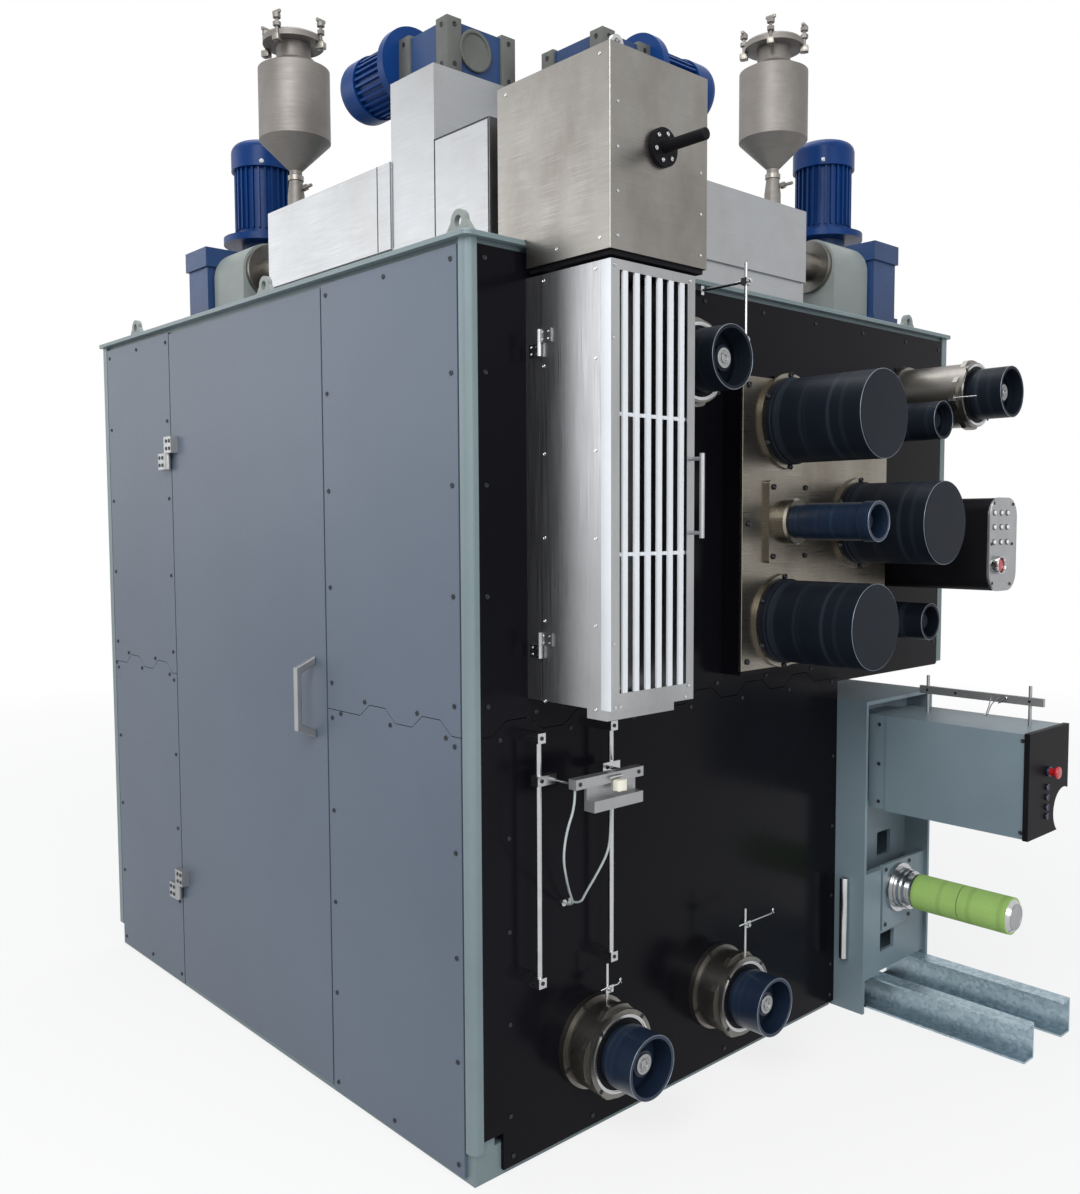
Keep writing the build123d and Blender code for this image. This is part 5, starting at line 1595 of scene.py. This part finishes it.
@dataclass
class FinishTrim:
    """Hoses, ceramic guide and clamp screws of the finishing station, and the thread eyes.

    Attributes:
        bench: The modelling steps.
        left_route: Control points of the left hose: x, stand from the front, height.
        right_route: Control points of the right hose.
        left_length: Length of the left hose.
        right_length: Length of the right hose.
        hose_radius: Radius of both.
        pin: The bright pin over the ceramic guide.
        screw: A clamp screw of a thread guide.
        screw_spots: Places of these screws.
        eyes: Control points of each thread eye, all in millimetres.
    """

    bench: Bench
    left_route: Tuple[Triple, ...] = (
        (203, 130, 940), (203, 130, 900), (182, 124, 845), (178, 116, 780), (205, 98, 722), (245, 66, 674),
        (284, 44, 622), (284, 8, 622),
    )
    right_route: Tuple[Triple, ...] = (
        (322, 130, 880), (322, 130, 836), (324, 122, 770), (310, 94, 708), (306, 62, 658), (304, 42, 622),
        (304, 8, 622),
    )
    left_length: float = 394.1
    right_length: float = 308.8
    hose_radius: float = 3.0
    pin: Turned = Turned(3.5, 44.0, 20)
    screw: Turned = Turned(5.0, 9.0, 20, edge=1.0)
    screw_spots: Tuple[Triple, ...] = ((386, -64, 392), (891, -105, 441), (799, -161, 2174))
    eyes: Tuple[Tuple[Triple, ...], ...] = (
        (
            (1008, -96, 441), (1016, -97, 445), (1019, -99, 454), (1012, -101, 458), (1008, -102, 450),
            (1014, -103, 444),
        ),
        (
            (424, -55, 392), (432, -56, 396), (434, -58, 405), (427, -60, 408), (424, -61, 400),
            (430, -62, 395),
        ),
        ((799, -152, 2033), (800, -154, 2026), (806, -157, 2020), (810, -158, 2028), (803, -157, 2034)),
    )

    def hose(self, name: str, node: str, route: Sequence[Triple], length: float) -> None:
        """A limp hose from the station down to its gland in the front.

        Args:
            name: Name of the piece.
            node: CAD node that it stands for.
            route: Its control points.
            length: Its length in millimetres; not used.
        """
        points = [(x, -stand, z) for x, stand, z in route]
        hose = self.bench.path(name, points, self.hose_radius)
        self.bench.paintbox.coat(hose, Paint.HOSE)
        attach(hose, "machine")
        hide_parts(node)

    def guide(self) -> None:
        """The ceramic guide, narrowed towards its foot, and its pin."""
        guide = self.bench.block("ceramic_guide", (30, 22, 30), 4.0)
        self.bench.select_faces(guide, lambda face: face.normal.z < -0.9)
        bpy.ops.transform.resize(value=(0.35, 0.6, 1.0))
        bpy.ops.object.mode_set(mode="OBJECT")
        self.bench.place(guide, Matrix.Translation(at(330, -152, 918)))
        self.bench.finish(guide, "machine", Paint.CERAMIC, "aluminium")
        pin = self.pin.stand(self.bench, "ceramic_pin", (300, -146, 954), Facing.RIGHT)
        self.bench.finish(pin, "machine", Paint.BRIGHT, "bright_steel")

    def build(self) -> None:
        """Make the hoses, the guide, the screws and the eyes."""
        bench = self.bench
        self.hose("left_finish_hose", "hose_left", self.left_route, self.left_length)
        self.hose("right_finish_hose", "hose_right", self.right_route, self.right_length)
        self.guide()
        rows = grid_rows((209, 407), (-142,), (952,)) + grid_rows((167, 410), (-57,), (467, 1053))
        rows += grid_rows((167, 385), (-57,), (952,))
        Screws(bench, 5.0, 2.2).set_rows("finish_clamp_screws", rows)
        made = [self.screw.stand(bench, "guide_screw", spot) for spot in self.screw_spots]
        bench.finish(bench.join(made, "guide_clamp_screws"), "machine", Paint.BRIGHT, "bright_steel")
        loops = [bench.wire("thread_eye", eye) for eye in self.eyes]
        bench.finish(bench.join(loops, "thread_eyes"), "machine", Paint.BRIGHT, "bright_steel")


@dataclass
class Studio:
    """Camera, lights, floor and background.

    Attributes:
        eye: Camera place in the row frame, in metres.
        yaw: Turn to the right from straight ahead, in degrees.
        pitch: Tilt down, in degrees.
        roll: Turn about the line of sight, in degrees.
        lens: Focal length for a 36 mm sensor, in millimetres.
        room: Colour of the light that comes from all round.
        room_strength: Strength of that light.
        floor_radius: Radius of the floor, in metres.
        floor_colour: Colour of the floor where the light falls on it.
        fade: Distances in metres between which the floor fades into the background.
        near_share: Share of the background's white in the floor at the first of them.
        lamps: Name, place, aim, size and watts of each lamp, in metres.
    """

    eye: Triple = (-2.6159, -2.9968, 1.5535)
    yaw: float = 42.170
    pitch: float = 3.806
    roll: float = -0.257
    lens: float = 33.37
    room: Triple = (0.82, 0.86, 0.92)
    room_strength: float = 0.5
    floor_radius: float = 14.0
    floor_colour: Triple = (0.72, 0.72, 0.73)
    fade: Tuple[float, float] = (2.5, 8.0)
    near_share: float = 0.8
    lamps: Tuple[Tuple[str, Triple, Triple, Tuple[float, float], float], ...] = (
        ("key", (-5.0, -3.5, 5.2), (0.0, 0.0, 1.2), (3.5, 3.5), 300.0),
        ("side", (-8.0, 8.0, 4.0), (-1.0, -0.3, 1.8), (8.0, 5.0), 210.0),
        ("fill", (-1.5, -7.5, 3.0), (0.3, -0.6, 1.2), (3.0, 3.0), 130.0),
        ("top", (0.0, 0.5, 6.5), (0.0, 0.0, 1.0), (4.0, 4.0), 170.0),
    )

    def camera(self) -> None:
        """Set the camera where the photographer stood."""
        data = bpy.data.cameras.new("camera")
        data.lens = self.lens
        data.sensor_width = 36.0
        data.clip_end = 60.0
        camera = bpy.data.objects.new("camera", data)
        bpy.context.scene.collection.objects.link(camera)
        turn = (
            Matrix.Rotation(math.radians(-self.yaw), 4, "Z")
            @ Matrix.Rotation(math.radians(90 - self.pitch), 4, "X")
            @ Matrix.Rotation(math.radians(self.roll), 4, "Z")
        )
        camera.matrix_world = Matrix.Translation(self.eye) @ turn
        bpy.context.scene.camera = camera

    def lamp(self, name: str, place: Triple, aim: Triple, size: Tuple[float, float], power: float) -> None:
        """A soft rectangular lamp.

        Args:
            name: Its name.
            place: Where it hangs, in metres.
            aim: What it points at, in metres.
            size: Width and height in metres.
            power: Watts.
        """
        data = bpy.data.lights.new(name, "AREA")
        data.shape = "RECTANGLE"
        data.size, data.size_y = size
        data.energy = power
        lamp = bpy.data.objects.new(name, data)
        bpy.context.scene.collection.objects.link(lamp)
        turn = (Vector(aim) - Vector(place)).to_track_quat("-Z", "Y").to_matrix().to_4x4()
        lamp.matrix_world = Matrix.Translation(place) @ turn

    def combine(self, tree: bpy.types.NodeTree, operation: str, first: Socket, second: Socket) -> Socket:
        """Two values made one.

        Args:
            tree: A node tree.
            operation: What is done with them.
            first: One value.
            second: The other value.

        Returns:
            The result.
        """
        node = add_node(tree, "Math")
        node.operation = operation
        tree.links.new(first, node.inputs[0])
        tree.links.new(second, node.inputs[1])
        return node.outputs[0]

    def seen_directly(self, tree: bpy.types.NodeTree) -> Socket:
        """1 for what the camera sees, directly, mirrored or through glass.

        Args:
            tree: A node tree.

        Returns:
            The value.
        """
        path = add_node(tree, "LightPath")
        value = path.outputs["Is Camera Ray"]
        for name in ("Is Glossy Ray", "Is Transmission Ray"):
            value = self.combine(tree, "MAXIMUM", value, path.outputs[name])
        return value

    def mixed(
        self, tree: bpy.types.NodeTree, share: Socket, lit: bpy.types.Node, seen: bpy.types.Node
    ) -> Socket:
        """Two shaders mixed by a share.

        Args:
            tree: A node tree.
            share: How much of the second shows.
            lit: Shader at share 0.
            seen: Shader at share 1.

        Returns:
            The mixed shader.
        """
        mix = add_node(tree, "MixShader")
        tree.links.new(share, mix.inputs["Fac"])
        tree.links.new(lit.outputs[0], mix.inputs[1])
        tree.links.new(seen.outputs[0], mix.inputs[2])
        return mix.outputs["Shader"]

    def backdrop(self) -> None:
        """A white background, and a plain grey room for the light."""
        world = bpy.data.worlds.new("room")
        bpy.context.scene.world = world
        world.use_nodes = True
        tree = world.node_tree
        tree.nodes.clear()
        seen = add_node(tree, "Background", Color=(1.0, 1.0, 1.0, 1.0))
        lit = add_node(tree, "Background", Color=(*self.room, 1.0), Strength=self.room_strength)
        surface = self.mixed(tree, self.seen_directly(tree), lit, seen)
        tree.links.new(surface, add_node(tree, "OutputWorld").inputs["Surface"])

    def floor(self) -> None:
        """A plain pale floor that keeps a soft shadow and fades into the background."""
        bpy.ops.object.select_all(action="DESELECT")
        bpy.ops.mesh.primitive_circle_add(
            vertices=96, radius=self.floor_radius, fill_type="NGON", location=(0, 0, -0.0008)
        )
        floor = bpy.context.object
        floor.name = "studio_floor"
        bpy.ops.object.transform_apply(location=True, rotation=True, scale=True)
        material = bpy.data.materials.new("studio_floor")
        material.use_nodes = True
        tree = material.node_tree
        tree.nodes.clear()
        reach = add_node(tree, "VectorMath")
        reach.operation = "LENGTH"
        tree.links.new(add_node(tree, "TexCoord").outputs["Object"], reach.inputs[0])
        near, far = self.fade
        fade = add_node(tree, "MapRange", From_Min=near, From_Max=far, To_Min=self.near_share, To_Max=1.0)
        tree.links.new(reach.outputs["Value"], fade.inputs["Value"])
        share = self.combine(tree, "MULTIPLY", self.seen_directly(tree), fade.outputs["Result"])
        matt = add_node(tree, "BsdfDiffuse", Color=(*self.floor_colour, 1.0))
        glow = add_node(tree, "Emission", Color=(1.0, 1.0, 1.0, 1.0), Strength=1.0)
        surface = self.mixed(tree, share, matt, glow)
        tree.links.new(surface, add_node(tree, "OutputMaterial").inputs["Surface"])
        floor.data.materials.append(material)

    def build(self) -> None:
        """Set up the whole studio."""
        self.camera()
        self.backdrop()
        self.floor()
        for name, place, aim, size, power in self.lamps:
            self.lamp(name, place, aim, size, power)
        bpy.context.scene.view_settings.view_transform = "Standard"
        LOG.info("studio set")


def main() -> None:
    """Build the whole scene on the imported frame."""
    logging.basicConfig(level=logging.INFO, format="%(message)s")
    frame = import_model()
    paintbox = Paintbox()
    bench = Bench(paintbox)
    NodePaints(paintbox, frame["nodes"]).build()
    for trim in (
        CabinetScrews, Hinges, DoorSeals, QuenchTrim, SpinBoxTrim, RollTrim, TrainTrim, ControlPlate,
        WinderTrim, FinishTrim,
    ):
        trim(bench).build()
    Studio().build()


if __name__ == "__main__":
    main()
